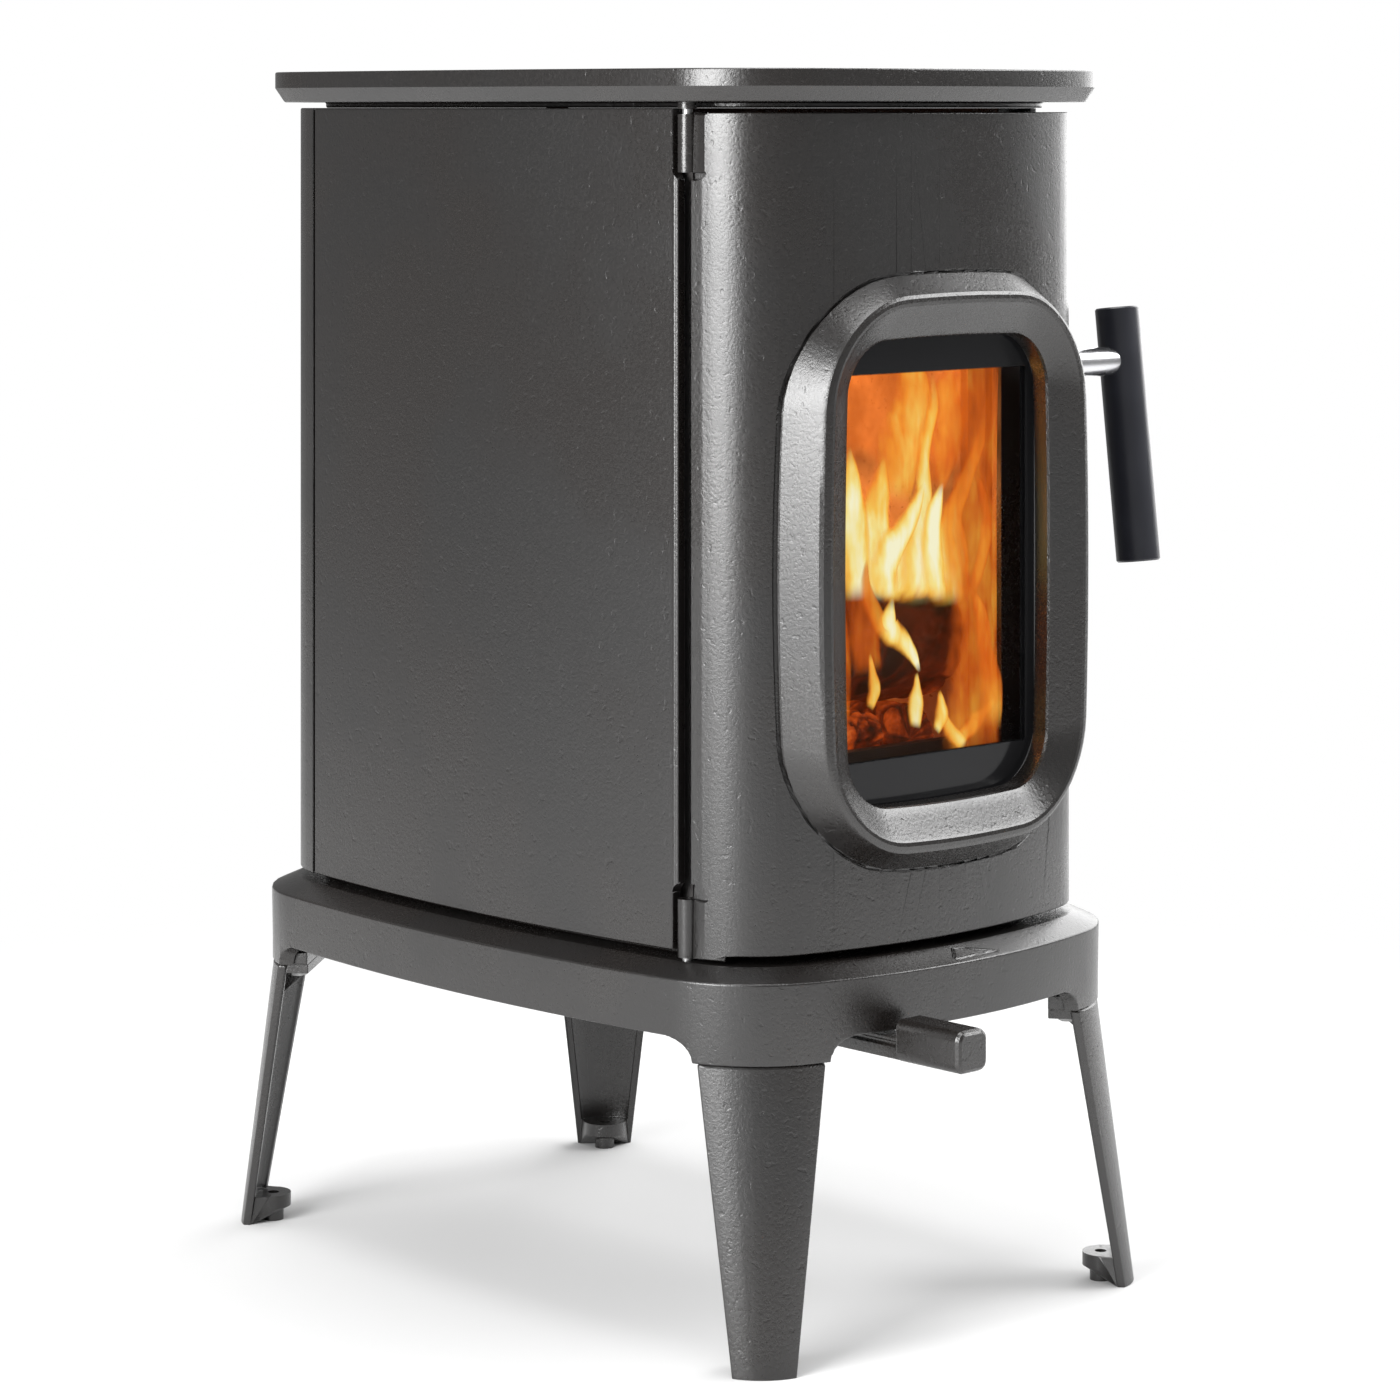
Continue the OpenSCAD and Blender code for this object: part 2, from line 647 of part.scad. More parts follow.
// A plate across the firebox, stepped in behind the panels' rear flanges
module fire_plate(half, y0, y1, z) {
  box([-half, y0, z], [half, inner_back, z + plate_t]);
  box([-inner_half, inner_back - 1, z], [inner_half, y1, z + plate_t]);
}
module hearth_plate() color(dark_iron) difference() {
  fire_plate(hearth_half, hearth_y0 + 10, hearth_y1, hearth_z - plate_t);
  box([-grate_half, grate_y - grate_half_y, hearth_z - plate_t - 1],
      [grate_half, grate_y + grate_half_y, hearth_z + 1]);
}
module grate() color(dark_iron) difference() {
  union() {
    box([-grate_half + 0.8, grate_y - grate_half_y + 0.8, hearth_z - plate_t - 5],
        [grate_half - 0.8, grate_y + grate_half_y - 0.8, hearth_z + 1]);
    box([-grate_half - 8, grate_y - grate_half_y - 8, hearth_z + seat_gap],
        [grate_half + 8, grate_y + grate_half_y + 8, hearth_z + 5]);
  }
  for (i = [0:6], k = [0, 1])
    translate([(i - 3) * (bar_gap + bar_w), grate_y + (k - 0.5) * grate_half_y,
               hearth_z - plate_t - 6])
      linear_extrude(plate_t + 12) {
        square([bar_gap, grate_half_y - bar_margin], center = true);
        for (s = [-1, 1])
          translate([0, s * (grate_half_y - bar_margin) / 2]) circle(r = bar_gap / 2, $fn = 32);
      }
}
guard_h = 30;
guard_t = 8;
module log_guard() color(dark_iron) {
  y0 = hearth_y0 + 12;
  difference() {
    box([-mouth_w - 12, y0, hearth_z + seat_gap], [mouth_w + 12, y0 + guard_t, hearth_z + guard_h]);
    for (i = [-4:4])
      translate([i * 22, 0, hearth_z + guard_h * 0.5]) {
        tube_y(3.5, y0 - 1, y0 + guard_t + 1);
        translate([0, 0, 5]) tube_y(3.5, y0 - 1, y0 + guard_t + 1);
        box([-3.5, y0 - 1, 0], [3.5, y0 + guard_t + 1, 5]);
      }
  }
}

// Fire bricks stand on the hearth and carry the baffle
brick_y0 = hearth_y0 + 24;
brick_x = side_x(panel_front) - wall - 3;
module side_brick() {
  box([brick_x - brick_t, brick_y0, hearth_z + seat_gap], [brick_x, inner_back, baffle_z - seat_gap]);
}
module side_brick_left() color(brick) {
  mirror([1, 0, 0]) side_brick();
}
module side_brick_right() color(brick) {
  side_brick();
}
module rear_brick() color(brick) {
  y0 = inner_back + seat_gap;
  box([-inner_half, y0, hearth_z + seat_gap], [inner_half, y0 + brick_t, baffle_z - seat_gap]);
}
baffle_open = 76;
module baffle() color(brick) {
  fire_plate(brick_x, brick_y0 + baffle_open, inner_back + brick_t, baffle_z);
}

// Ash pan, an open box of folded sheet that slides on the base's rails
pan_half = mouth_w - 8;
pan_t = 2;
pan_h = 30;
pan_z = mouth_z0 + 1;
pan_y0 = frame_y0 - 1;
pan_y1 = inner_back - 42.5;
module ash_pan() color(steel) {
  difference() {
    box([-pan_half, pan_y0, pan_z], [pan_half, pan_y1, pan_z + pan_h]);
    box([-pan_half + pan_t, pan_y0 + pan_t, pan_z + pan_t],
        [pan_half - pan_t, pan_y1 - pan_t, pan_z + pan_h + 1]);
  }
}

// Door: a deep curved shell with end walls, a flange round its back edge,
// two hinge knuckles on lugs and a boss for the handle's shaft
door_flange_t = 8;
groove = 2 * rope_r + 1;
boss_r = 14;
shaft_in = 10.5;
shaft_y = door_back - shaft_in;
latch_x = 126;
seat_x = side_x(door_back) + 1;
lug_t = 5.5;
module door_zone(y) {
  box([-far, -far, 0], [far, y, far]);
}
module knuckle(z0) {
  translate([hinge_x, hinge_y, z0]) cylinder(r = knuckle_r, h = knuckle_h, $fn = round_fn);
  intersection() {
    box([hinge_x + knuckle_r - lug_t, hinge_y - 26, z0],
        [hinge_x + knuckle_r, hinge_y, z0 + knuckle_h]);
    slab(0, z0, z0 + knuckle_h);
  }
}
// A closed loop along the mouth's outline, set out by the groove's distance
module rope_path(r) {
  bend = mouth_r + rope_out;
  x = mouth_w - mouth_r;
  z0 = mouth_z0 + mouth_r;
  z1 = mouth_z1 - mouth_r;
  for (s = [-1, 1]) {
    translate([s * (x + bend), 0, z0]) cylinder(r = r, h = z1 - z0, $fn = 24);
    translate([-x, 0, s < 0 ? z0 - bend : z1 + bend]) rotate([0, 90, 0])
      cylinder(r = r, h = 2 * x, $fn = 24);
  }
  for (q = [0:3])
    translate([(q == 0 || q == 3 ? 1 : -1) * x, 0, q < 2 ? z1 : z0]) rotate([90, 0, 0])
      rotate([0, 0, 90 * q])
        rotate_extrude(angle = 90, $fn = 48) translate([bend, 0]) circle(r = r, $fn = 24);
}
module door() color(iron) difference() {
  union() {
    intersection() {
      union() {
        difference() {
          slab(0, door_bottom, door_top);
          slab(-wall, door_bottom + wall, door_top - wall);
        }
        difference() {
          slab(-wall + eps, door_bottom + wall / 2, door_top - wall / 2);
          door_zone(door_back - door_flange_t);
          upright(-far, 0, (mouth_z0 + mouth_z1) / 2) mouth(0);
        }
        intersection() {
          translate([0, shaft_y, handle_z]) tube_x(boss_r, latch_x + 8, side_x(shaft_y) - wall / 2);
          slab(-1, 0, far);
        }
      }
      door_zone(door_back);
    }
    knuckle(knuckle_bottom);
    knuckle(door_top - knuckle_h - 1);
    intersection() {
      translate([0, shaft_y, handle_z]) tube_x(stem_r + 2, corner_x + corner_r - wall, seat_x);
      door_zone(door_back);
    }
  }
  // Window opening behind the surround
  upright(-far, door_back - door_flange_t - 6, window_z) polygon(rr_ring(seat_w));
  // Fine groove round the surround
  intersection() {
    upright(-far, door_back, window_z) difference() {
      polygon(rr_ring(-1.2));
      polygon(rr_ring(2));
    }
    skin(1, 2.2, 0, far);
  }
  // Rope groove in the back flange
  upright(door_back - groove_d, door_back + 1, (mouth_z0 + mouth_z1) / 2) difference() {
    mouth(rope_out + groove / 2);
    mouth(rope_out - groove / 2);
  }
  // Handle shaft bore, and room behind for the latch finger
  translate([0, shaft_y, handle_z]) tube_x(shaft_r + running_fit, latch_x, far);
  box([latch_x - 9, shaft_y - 14, handle_z - finger_hub_r - 2],
      [latch_x + 8, door_back + 1, handle_z + keeper_top + 5]);
  // Pin bores, and the pockets that leave the knuckles free
  for (z = [knuckle_bottom - 1, door_top - knuckle_h - 2])
    translate([hinge_x, hinge_y, z]) cylinder(r = pin_r, h = knuckle_h + 3, $fn = 32);
  difference() {
    intersection() {
      hinge_pockets();
      skin(1, wall / 2 + 1, 0, far);
    }
    for (z = [knuckle_bottom, door_top - knuckle_h - 1])
      knuckle(z);
  }
}

// Window surround: one profile carried round the window's outline. The profile runs from the
// door's face over the rim, down the hollow slope to the opening, and back inside the casting
glass_y = -(front_reach - 14);
turn_n = 12;
edge_n = 8;
seat_w = 6;
side_bulge = 0.055;
top_bulge = 0.042;
corner_rate = 1.2;
function rr_point(w, h, r, q, a) =
  let (sx = (q == 0 || q == 3) ? 1 : -1, sz = q < 2 ? 1 : -1)
  [sx * (w / 2 - r) + r * cos(90 * q + a), sz * (h / 2 - r) + r * sin(90 * q + a)];
function bulged(p) =
  [p[0] * (1 - side_bulge * pow(2 * p[1] / surround_h, 2)),
   p[1] * (1 - top_bulge * pow(2 * p[0] / surround_w, 2))];
function rr_ring(s) = [for (p = straight_ring(s)) bulged(p)];
function straight_ring(s) =
  let (w = surround_w - 2 * s, h = surround_h - 2 * s, r = surround_r - corner_rate * s,
       turns = [for (q = [0:3], i = [0:turn_n]) rr_point(w, h, r, q, 90 * i / turn_n)],
       n = len(turns))
  [for (i = [0:n - 1])
     each ((i % (turn_n + 1) == turn_n)
       ? [for (k = [0:edge_n - 1]) turns[i] + (turns[(i + 1) % n] - turns[i]) * k / edge_n]
       : [turns[i]])];
function bow(x) = surround_bow_r - sqrt(surround_bow_r * surround_bow_r - x * x);
function shape_y(kind, y, x) =
  kind == 0 ? front_y(x) - seat_gap : kind == 1 ? y + bow(x) : y;
rim_y = -(front_reach + surround_out);
crease_in = 18.8;
slope_drop = 8.5;
// Each entry is the distance in from the outline, what the depth follows, and the depth
surround_profile = concat(
  [[0, 0, 0], [9.3, 1, rim_y + 3.2], [11, 1, rim_y + 1.2], [13, 1, rim_y + 0.3], [15.2, 1, rim_y],
   [17.4, 1, rim_y + 0.5]],
  [for (t = [0:0.25:1]) [crease_in + (surround_band - 2 - crease_in) * t, 1, rim_y + 1.5 + slope_drop * t]],
  [[surround_band - 0.6, 1, rim_y + 1.5 + slope_drop + 1.2], [surround_band, 1, rim_y + 1.5 + slope_drop + 3],
   [surround_band, 2, glass_y], [surround_band - glass_lap - 6, 2, glass_y],
   [surround_band - glass_lap - 9, 1, rim_y + 14], [crease_in - 4, 1, rim_y + 7], [8.5, 1, rim_y + 9],
   [seat_w + 1, 0, 0]]);
clip_z = 84;
clip_u = 20;
boss_y = glass_y + 0.5;
module window_surround() color(iron) difference() {
  union() {
    surround_shell();
    at_clips() translate([clip_u, 0, 0]) tube_y(6, rim_y + 15, boss_y);
  }
  at_clips() translate([clip_u, 0, 0]) tube_y(screw_r, glass_y - 7, glass_y + 1);
}
module surround_shell() {
  rings = [for (p = surround_profile)
             [for (q = rr_ring(p[0])) [q[0], shape_y(p[1], p[2], q[0]), q[1] + window_z]]];
  n = len(rings[0]);
  m = len(rings);
  points = [for (ring = rings) each ring];
  faces = [for (i = [0:m - 1], j = [0:n - 1])
             let (a = i * n + j, b = i * n + (j + 1) % n,
                  c = ((i + 1) % m) * n + (j + 1) % n, d = ((i + 1) % m) * n + j)
             each [[a, c, b], [a, d, c]]];
  polyhedron(points, faces);
}

// Glass, its seal, and four clips with screws
open_w = surround_w - 2 * surround_band;
open_h = surround_h - 2 * surround_band;
open_r = surround_r - surround_band;
seal_t = 2.5;
module pane(grow) {
  round_rect(open_w + 2 * grow, open_h + 2 * grow, open_r + grow);
}
module glass_seal() color(rope_grey) {
  upright(glass_y + seat_gap, glass_y + seal_t, window_z) difference() {
    pane(glass_lap);
    pane(2);
  }
}
module window_glass() color([0.2, 0.18, 0.16, 0.35]) {
  upright(glass_y + seal_t + seat_gap, glass_y + seal_t + glass_t, window_z) pane(glass_lap);
}
clip_y = glass_y + seal_t + glass_t + seat_gap;
clip_t = 2;
clip_w = 20;
module at_clips() {
  for (s = [-1, 1], t = [-1, 1])
    translate([s * open_w / 2, 0, window_z + t * clip_z]) mirror([s < 0 ? 1 : 0, 0, 0]) children();
}
module glass_clips() color(steel) difference() {
  at_clips() {
    box([glass_lap - 6, clip_y, -clip_w / 2], [27, clip_y + clip_t, clip_w / 2]);
    box([glass_lap + 3, boss_y + seat_gap, -clip_w / 2], [27, clip_y + eps, clip_w / 2]);
  }
  at_clips() translate([clip_u, 0, 0]) tube_y(screw_r, glass_y - 2, clip_y + clip_t + 1);
}
module clip_screws() color(steel) {
  at_clips() translate([clip_u, clip_y + clip_t + seat_gap, 0]) rotate([90, 0, 0])
    hex_screw(4, 2.5, screw_r - 0.05, clip_y + clip_t - glass_y + 5);
}
module door_rope() color(rope_grey) {
  translate([0, rope_y, 0]) rope_path(rope_r);
}

// Handle: a stem and shaft through the door's side, a long hanging grip,
// and the latch finger that reaches behind the frame
module handle_stem() color([0.75, 0.76, 0.78]) translate([0, shaft_y, handle_z]) {
  tube_x(shaft_r, latch_x - 6, seat_x + 1);
  tube_x(stem_r, seat_x + 0.3, grip_x + 2);
}
module handle_grip() color(grip_black) translate([grip_x, shaft_y, handle_z])
  rotate([-grip_lean, 0, 0]) difference() {
    translate([0, 0, grip_above - grip_l]) {
      cylinder(r1 = grip_r - 1, r2 = grip_r, h = 1, $fn = round_fn);
      translate([0, 0, 1]) cylinder(r = grip_r, h = grip_l - 2, $fn = round_fn);
      translate([0, 0, grip_l - 1]) cylinder(r1 = grip_r, r2 = grip_r - 1, h = 1, $fn = round_fn);
    }
    rotate([grip_lean, 0, 0]) {
      tube_x(stem_r + 0.02, -far, 2.1);
      tube_x(3, 0, far);
      tube_x(5.5, grip_r - 5, far);
    }
  }
module handle_screw() color(steel) translate([grip_x, shaft_y, handle_z]) {
  tube_x(2.95, 2.2, grip_r - 4.9);
  difference() {
    tube_x(5, grip_r - 4.9, grip_r - 1.5);
    rotate([0, 90, 0]) translate([0, 0, grip_r - 3.5]) cylinder(r = 2.5, h = 5, $fn = 6);
  }
}
finger_t = 8;
finger_reach = 20;
finger_hub_r = 11;
module latch_finger() color(steel) translate([latch_x - finger_t / 2, shaft_y, handle_z]) {
  difference() {
    union() {
      tube_x(finger_hub_r, 0, finger_t);
      rotate([90, 0, 90]) linear_extrude(finger_t)
        polygon([[-6, 0], [-4, finger_reach - 2], [-2, finger_reach], [2, finger_reach],
                 [3, finger_reach - 2], [5, 0]]);
    }
    tube_x(shaft_r + 0.02, -1, finger_t + 1);
  }
}
// The keeper hangs its lip just over the finger, in front of the frame
keeper_t = 3;
keeper_half = 5;
lip_over = 1;
lip_out = 9.5;
module at_keeper_screw() {
  translate([latch_x, 0, handle_z + keeper_top - 8]) children();
}
module latch_keeper() color(steel) difference() {
  lip_bottom = handle_z + finger_reach + lip_over;
  plate_y = frame_y0 - seat_gap - keeper_t;
  union() {
    box([latch_x - keeper_half, plate_y, lip_bottom],
        [latch_x + keeper_half, plate_y + keeper_t, handle_z + keeper_top]);
    box([latch_x - keeper_half, shaft_y - lip_out, lip_bottom + 4],
        [latch_x + keeper_half, plate_y + 1, lip_bottom + 8]);
    box([latch_x - keeper_half, shaft_y - lip_out, lip_bottom],
        [latch_x + keeper_half, shaft_y - lip_out + 4, lip_bottom + 8]);
  }
  at_keeper_screw() tube_y(screw_r, plate_y - 1, frame_y0);
}

// Air control: a slotted slide under the base floor, and the lever that carries it
lever_top = skirt_z - 2;
bar_t = 12.5;
bar_half = 7;
slit_h = 2.6;
lever_round = 6;
post_half = 4;
bar_back = -slide_front + slide_deep - 8;
neck_y = -(front_reach + ledge + 6);
tip_y = -(front_reach + ledge + lever_out);
slide_z = base_floor_z - slide_t - rail_room;
module air_slide() color(steel) difference() {
  box([slide_x0, -slide_front, slide_z], [slide_x1, -slide_front + slide_deep, slide_z + slide_t]);
  translate([0, 0, slide_z - 1]) linear_extrude(slide_t + 2) slide_slots();
}
module lever_knob(y0, y1, less) {
  upright(y0, y1, lever_top - bar_t + lever_h / 2)
    round_rect(lever_w - 2 * less, lever_h - 2 * less, lever_round - less);
}
module air_lever() color(iron) translate([-lever_x, 0, 0]) difference() {
  union() {
    box([-bar_half, neck_y - 1, lever_top - bar_t], [bar_half, bar_back, lever_top]);
    box([-post_half, bar_back - 12, lever_top - 1], [post_half, bar_back, slide_z - seat_gap]);
    hull() {
      lever_knob(tip_y, tip_y + eps, 2.5);
      lever_knob(tip_y + 1, tip_y + 1 + eps, 1);
      lever_knob(tip_y + 3, neck_y - 1, 0);
      lever_knob(neck_y - eps, neck_y, 1);
    }
  }
  // Slit along the shank's sides
  for (s = [-1, 1])
    box([s * bar_half - 1.5, neck_y + 2, lever_top - 2 * slit_h],
        [s * bar_half + 1.5, bar_back - 16, lever_top - slit_h]);
}

base();
leg_front_left();
leg_front_right();
leg_rear_left();
leg_rear_right();
leg_bolts();
side_panel_left();
side_panel_right();
rear_panel();
front_frame();
panel_screws();
top_plate();
flue_lid();
lid_clamp();
flue_collar();
collar_screws();
hinge_pin_top();
hinge_pin_bottom();
latch_keeper();
hearth_plate();
grate();
log_guard();
side_brick_left();
side_brick_right();
rear_brick();
baffle();
ash_pan();
door();
window_surround();
window_glass();
glass_seal();
glass_clips();
clip_screws();
door_rope();
handle_stem();
handle_grip();
handle_screw();
latch_finger();
air_slide();
air_lever();
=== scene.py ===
# %% [markdown]
# # A small cast iron wood stove
# The castings, pins and screws come from a CAD model, already in place and in metres.
# This lesson dresses them: soft edges on the castings, iron, steel, brick and glass
# finishes, braided rope, logs with a fire, and a plain studio with one camera.
# The door, its handle and the air lever stay movable, because each piece rides on a body.

# %% Load the stove
import json
import math

import bmesh
import bpy
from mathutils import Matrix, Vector, noise

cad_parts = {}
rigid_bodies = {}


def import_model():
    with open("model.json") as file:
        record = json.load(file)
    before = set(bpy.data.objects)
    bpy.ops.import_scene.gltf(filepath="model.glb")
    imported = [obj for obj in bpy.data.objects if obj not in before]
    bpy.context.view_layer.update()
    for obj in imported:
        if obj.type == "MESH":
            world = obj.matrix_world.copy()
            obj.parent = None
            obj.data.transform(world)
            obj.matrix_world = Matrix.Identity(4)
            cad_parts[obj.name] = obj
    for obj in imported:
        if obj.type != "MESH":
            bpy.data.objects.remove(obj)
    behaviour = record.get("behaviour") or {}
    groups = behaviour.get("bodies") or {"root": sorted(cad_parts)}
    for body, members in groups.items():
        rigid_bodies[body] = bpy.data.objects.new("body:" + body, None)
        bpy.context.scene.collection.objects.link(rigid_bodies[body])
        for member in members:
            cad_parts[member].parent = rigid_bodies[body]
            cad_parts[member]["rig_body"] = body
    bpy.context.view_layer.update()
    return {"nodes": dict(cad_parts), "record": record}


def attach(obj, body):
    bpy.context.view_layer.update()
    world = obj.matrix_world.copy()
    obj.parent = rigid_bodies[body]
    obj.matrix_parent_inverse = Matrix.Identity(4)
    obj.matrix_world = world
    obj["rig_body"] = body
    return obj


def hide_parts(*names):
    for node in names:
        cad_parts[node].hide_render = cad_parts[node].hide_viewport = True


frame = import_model()
nodes = frame["nodes"]
scene = bpy.context.scene

# %% [markdown]
# ## Writing a finish
# A finish is a small tree of shader nodes. Written node by node it is hard to read, so a
# socket is wrapped in a class that understands plus, minus and times. An expression such
# as `1 - soot * 0.5` then adds the Math nodes by itself.

# %% A socket that can be calculated with
class Value:
    def __init__(self, finish, socket):
        self.finish, self.socket = finish, socket

    def math(self, operation, a, b):
        return self.finish.node("ShaderNodeMath", {"operation": operation}, {0: a, 1: b})

    def __add__(self, other): return self.math("ADD", self, other)
    def __radd__(self, other): return self.math("ADD", other, self)
    def __sub__(self, other): return self.math("SUBTRACT", self, other)
    def __rsub__(self, other): return self.math("SUBTRACT", other, self)
    def __mul__(self, other): return self.math("MULTIPLY", self, other)
    def __rmul__(self, other): return self.math("MULTIPLY", other, self)
    def __pow__(self, other): return self.math("POWER", self, other)

    def clamp(self):
        return self.finish.node("ShaderNodeClamp", {}, {"Value": self})

    def step(self, low, high):
        settings = {"interpolation_type": "SMOOTHSTEP"}
        sockets = {"Value": self, "From Min": low, "From Max": high}
        return self.finish.node("ShaderNodeMapRange", settings, sockets)


# %% A finish, built from named nodes
class Finish:
    def __init__(self, name, owner=None):
        self.material = owner or bpy.data.materials.new(name)
        self.material.use_nodes = True
        self.tree = self.material.node_tree
        self.tree.nodes.clear()

    def node(self, kind, settings=None, sockets=None, out=0):
        made = self.tree.nodes.new(kind)
        for key, setting in (settings or {}).items():
            if key == "stops":
                while len(made.color_ramp.elements) < len(setting):
                    made.color_ramp.elements.new(0.5)
                for element, (place, colour) in zip(made.color_ramp.elements, setting):
                    element.position, element.color = place, (*colour, 1)
            else:
                setattr(made, key, setting)
        for key, value in (sockets or {}).items():
            if isinstance(value, Value):
                self.tree.links.new(value.socket, made.inputs[key])
            else:
                made.inputs[key].default_value = value
        return Value(self, made.outputs[out]) if made.outputs else made

    def place(self):
        return self.node("ShaderNodeTexCoord", out="Object")

    def attribute(self, name):
        return self.node("ShaderNodeAttribute", {"attribute_name": name}, out="Fac")

    def axes(self, of=None):
        split = self.node("ShaderNodeSeparateXYZ", {}, {0: of or self.place()})
        return [Value(self, axis) for axis in split.socket.node.outputs]

    def noise(self, scale, detail=3.0, rough=0.5, at=None, **more):
        sockets = {"Vector": at or self.place(), "Scale": scale, "Detail": detail, "Roughness": rough}
        return self.node("ShaderNodeTexNoise", {}, {**sockets, **more})

    def mix(self, amount, low, high):
        return self.node("ShaderNodeMix", {"data_type": "RGBA"}, {0: amount, 6: low, 7: high}, 2)

    def ramp(self, value, stops):
        return self.node("ShaderNodeValToRGB", {"stops": stops}, {0: value})

    def stretched(self, scale):
        return self.node("ShaderNodeMapping", {}, {"Vector": self.place(), "Scale": scale})

    def bump(self, height, strength, distance, under=None):
        sockets = {"Height": height, "Strength": strength, "Distance": distance}
        if under:
            sockets["Normal"] = under
        return self.node("ShaderNodeBump", {}, sockets)

    def surface(self, **sockets):
        names = {key.replace("_", " "): value for key, value in sockets.items()}
        shader = self.node("ShaderNodeBsdfPrincipled", {}, names)
        self.node("ShaderNodeOutputMaterial", {}, {"Surface": shader})
        return self.material


def rgb(r, g, b):
    return (r, g, b, 1)


def shade(colour, times):
    return rgb(*[part * times for part in colour[:3]])


print("finish helpers ready")

# %% [markdown]
# ## Stove paint over cast iron
# Cast iron is poured into sand, and the paint keeps the sand's grain: soft bumps about a
# millimetre across, a few pits, and broad areas that are a little duller. Two noises give
# the grain, a third gives the dull areas, and all of them are measured in metres on the
# object, so that the grain has one size on every casting.

# %% Painted and bare cast iron
def cast_iron(name, light, dark, roughness, grain):
    finish = Finish(name)
    cloud = finish.noise(9, 3).step(0.35, 0.68)
    sand = finish.noise(520, 4, 0.6)
    fine = finish.noise(1500, 2, 0.5)
    pits = 1 - finish.noise(210, 2, 0.4).step(0.27, 0.36)
    colour = finish.mix(cloud, light, dark)
    colour = finish.mix(sand.step(0.42, 0.75) * 0.35, colour, shade(light, 1.5))
    height = sand + fine * 0.35 - pits * 0.5
    return finish.surface(
        Base_Color=colour, Metallic=0.0, Specular_IOR_Level=0.95,
        Roughness=(roughness + cloud * 0.07 + (sand - 0.5) * 0.16).clamp(),
        Normal=finish.bump(height, grain, 0.00035))


painted_iron = cast_iron("stove_paint", light=rgb(0.0085, 0.0068, 0.0060), dark=rgb(0.0045, 0.0039, 0.0037),
                         roughness=0.26, grain=0.50)
bare_iron = cast_iron("heat_darkened_iron", light=rgb(0.040, 0.036, 0.034), dark=rgb(0.022, 0.020, 0.020),
                      roughness=0.62, grain=0.6)
print("iron finishes:", painted_iron.name, bare_iron.name)

# %% [markdown]
# ## Steel, brick, rope and grip
# The stem is turned on a lathe, so its scratches run round it; stretching a noise along
# the other axis draws them. Fire brick is pressed board with small dark specks. The fire's
# light on it is painted in as an orange emission, brighter above a set height where the
# flames reach, and in patches. The grip is a smooth black coating that only shows a faint texture in its
# highlight.

# %% Bright and plain steel
def steel(name, colour, roughness, stretch):
    finish = Finish(name)
    lines = finish.noise(300, 3, 0.6, finish.stretched(stretch))
    stain = finish.noise(35, 3).step(0.45, 0.8)
    stained = finish.mix(stain * 0.4, colour, shade(colour, 0.55))
    return finish.surface(
        Base_Color=stained, Metallic=1.0, Roughness=roughness + lines * 0.18,
        Normal=finish.bump(lines, 0.12, 0.0002))


bright_steel = steel("turned_stainless", rgb(0.72, 0.72, 0.74), roughness=0.16, stretch=(9, 1, 1))
plain_steel = steel("plated_steel", rgb(0.42, 0.42, 0.42), roughness=0.34, stretch=(1, 1, 1))
print("steel finishes:", bright_steel.name, plain_steel.name)


# %% Fire brick, sealing rope and the grip's coating
FIRELIT_FROM, FIRELIT_TO = 0.478, 0.492  # heights between which the painted firelight on the brick turns from dull to bright


def fire_brick():
    finish = Finish("fire_brick")
    specks = 1 - finish.noise(330, 2, 0.5).step(0.30, 0.38)
    soot = finish.noise(11, 4, 0.6).step(0.42, 0.70)
    colour = finish.mix(soot, rgb(0.52, 0.41, 0.29), rgb(0.10, 0.075, 0.055))
    colour = finish.mix(specks * 0.7, colour, rgb(0.08, 0.06, 0.05))
    height = finish.noise(420, 4, 0.6) - specks * 0.6
    # Painted firelight: this emission is the fire's orange light painted onto the brick, not the brick's own
    # glow. It is brighter above a set height and in patches.
    _, _, z = finish.axes()
    patch = finish.noise(16, 3, 0.5)
    painted_firelight_band = (z + (patch - 0.5) * 0.02).step(FIRELIT_FROM, FIRELIT_TO)
    glow = finish.mix(painted_firelight_band, rgb(0.075, 0.011, 0.001), rgb(0.47, 0.090, 0.009))
    glow = finish.mix(patch.step(0.3, 0.8) * 0.35, glow, rgb(0.27, 0.046, 0.005))
    return finish.surface(Base_Color=colour, Roughness=0.88 - soot * 0.1, Emission_Color=glow,
                          Emission_Strength=1.0, Normal=finish.bump(height, 0.5, 0.0006))


def glass_fibre():
    finish = Finish("glass_fibre_rope")
    fuzz = finish.noise(900, 3, 0.7)
    colour = finish.mix(fuzz, rgb(0.045, 0.045, 0.047), rgb(0.14, 0.14, 0.14))
    return finish.surface(Base_Color=colour, Roughness=0.9, Normal=finish.bump(fuzz, 0.5, 0.0004))


def grip_coating(name, colour, roughness):
    finish = Finish(name)
    skin = finish.noise(1100, 3, 0.55)
    wear = finish.noise(40, 3).step(0.4, 0.8)
    return finish.surface(
        Base_Color=finish.mix(wear * 0.35, colour, shade(colour, 1.6)),
        Roughness=roughness + wear * 0.06 + skin * 0.05, Specular_IOR_Level=0.6,
        Normal=finish.bump(skin, 0.12, 0.0002))


brick, rope = fire_brick(), glass_fibre()
black_grip = grip_coating("black_grip", rgb(0.014, 0.015, 0.022), 0.34)
print("other finishes:", brick.name, rope.name, black_grip.name)

# %% [markdown]
# ## Glass with a printed border
# The pane is clear in the middle and has an opaque black border fired onto it, all round
# the fire. The border is a rectangle in the object's own X and Z, and it only turns the
# glass's alpha up: clear glass is nearly all see-through, the border is solid.

# %% The window glass
CLEAR_HALF_WIDTH, CLEAR_LOW, CLEAR_HIGH = 0.0785, 0.3305, 0.5525
SOFT = 0.0006  # half the width over which the border's edge fades


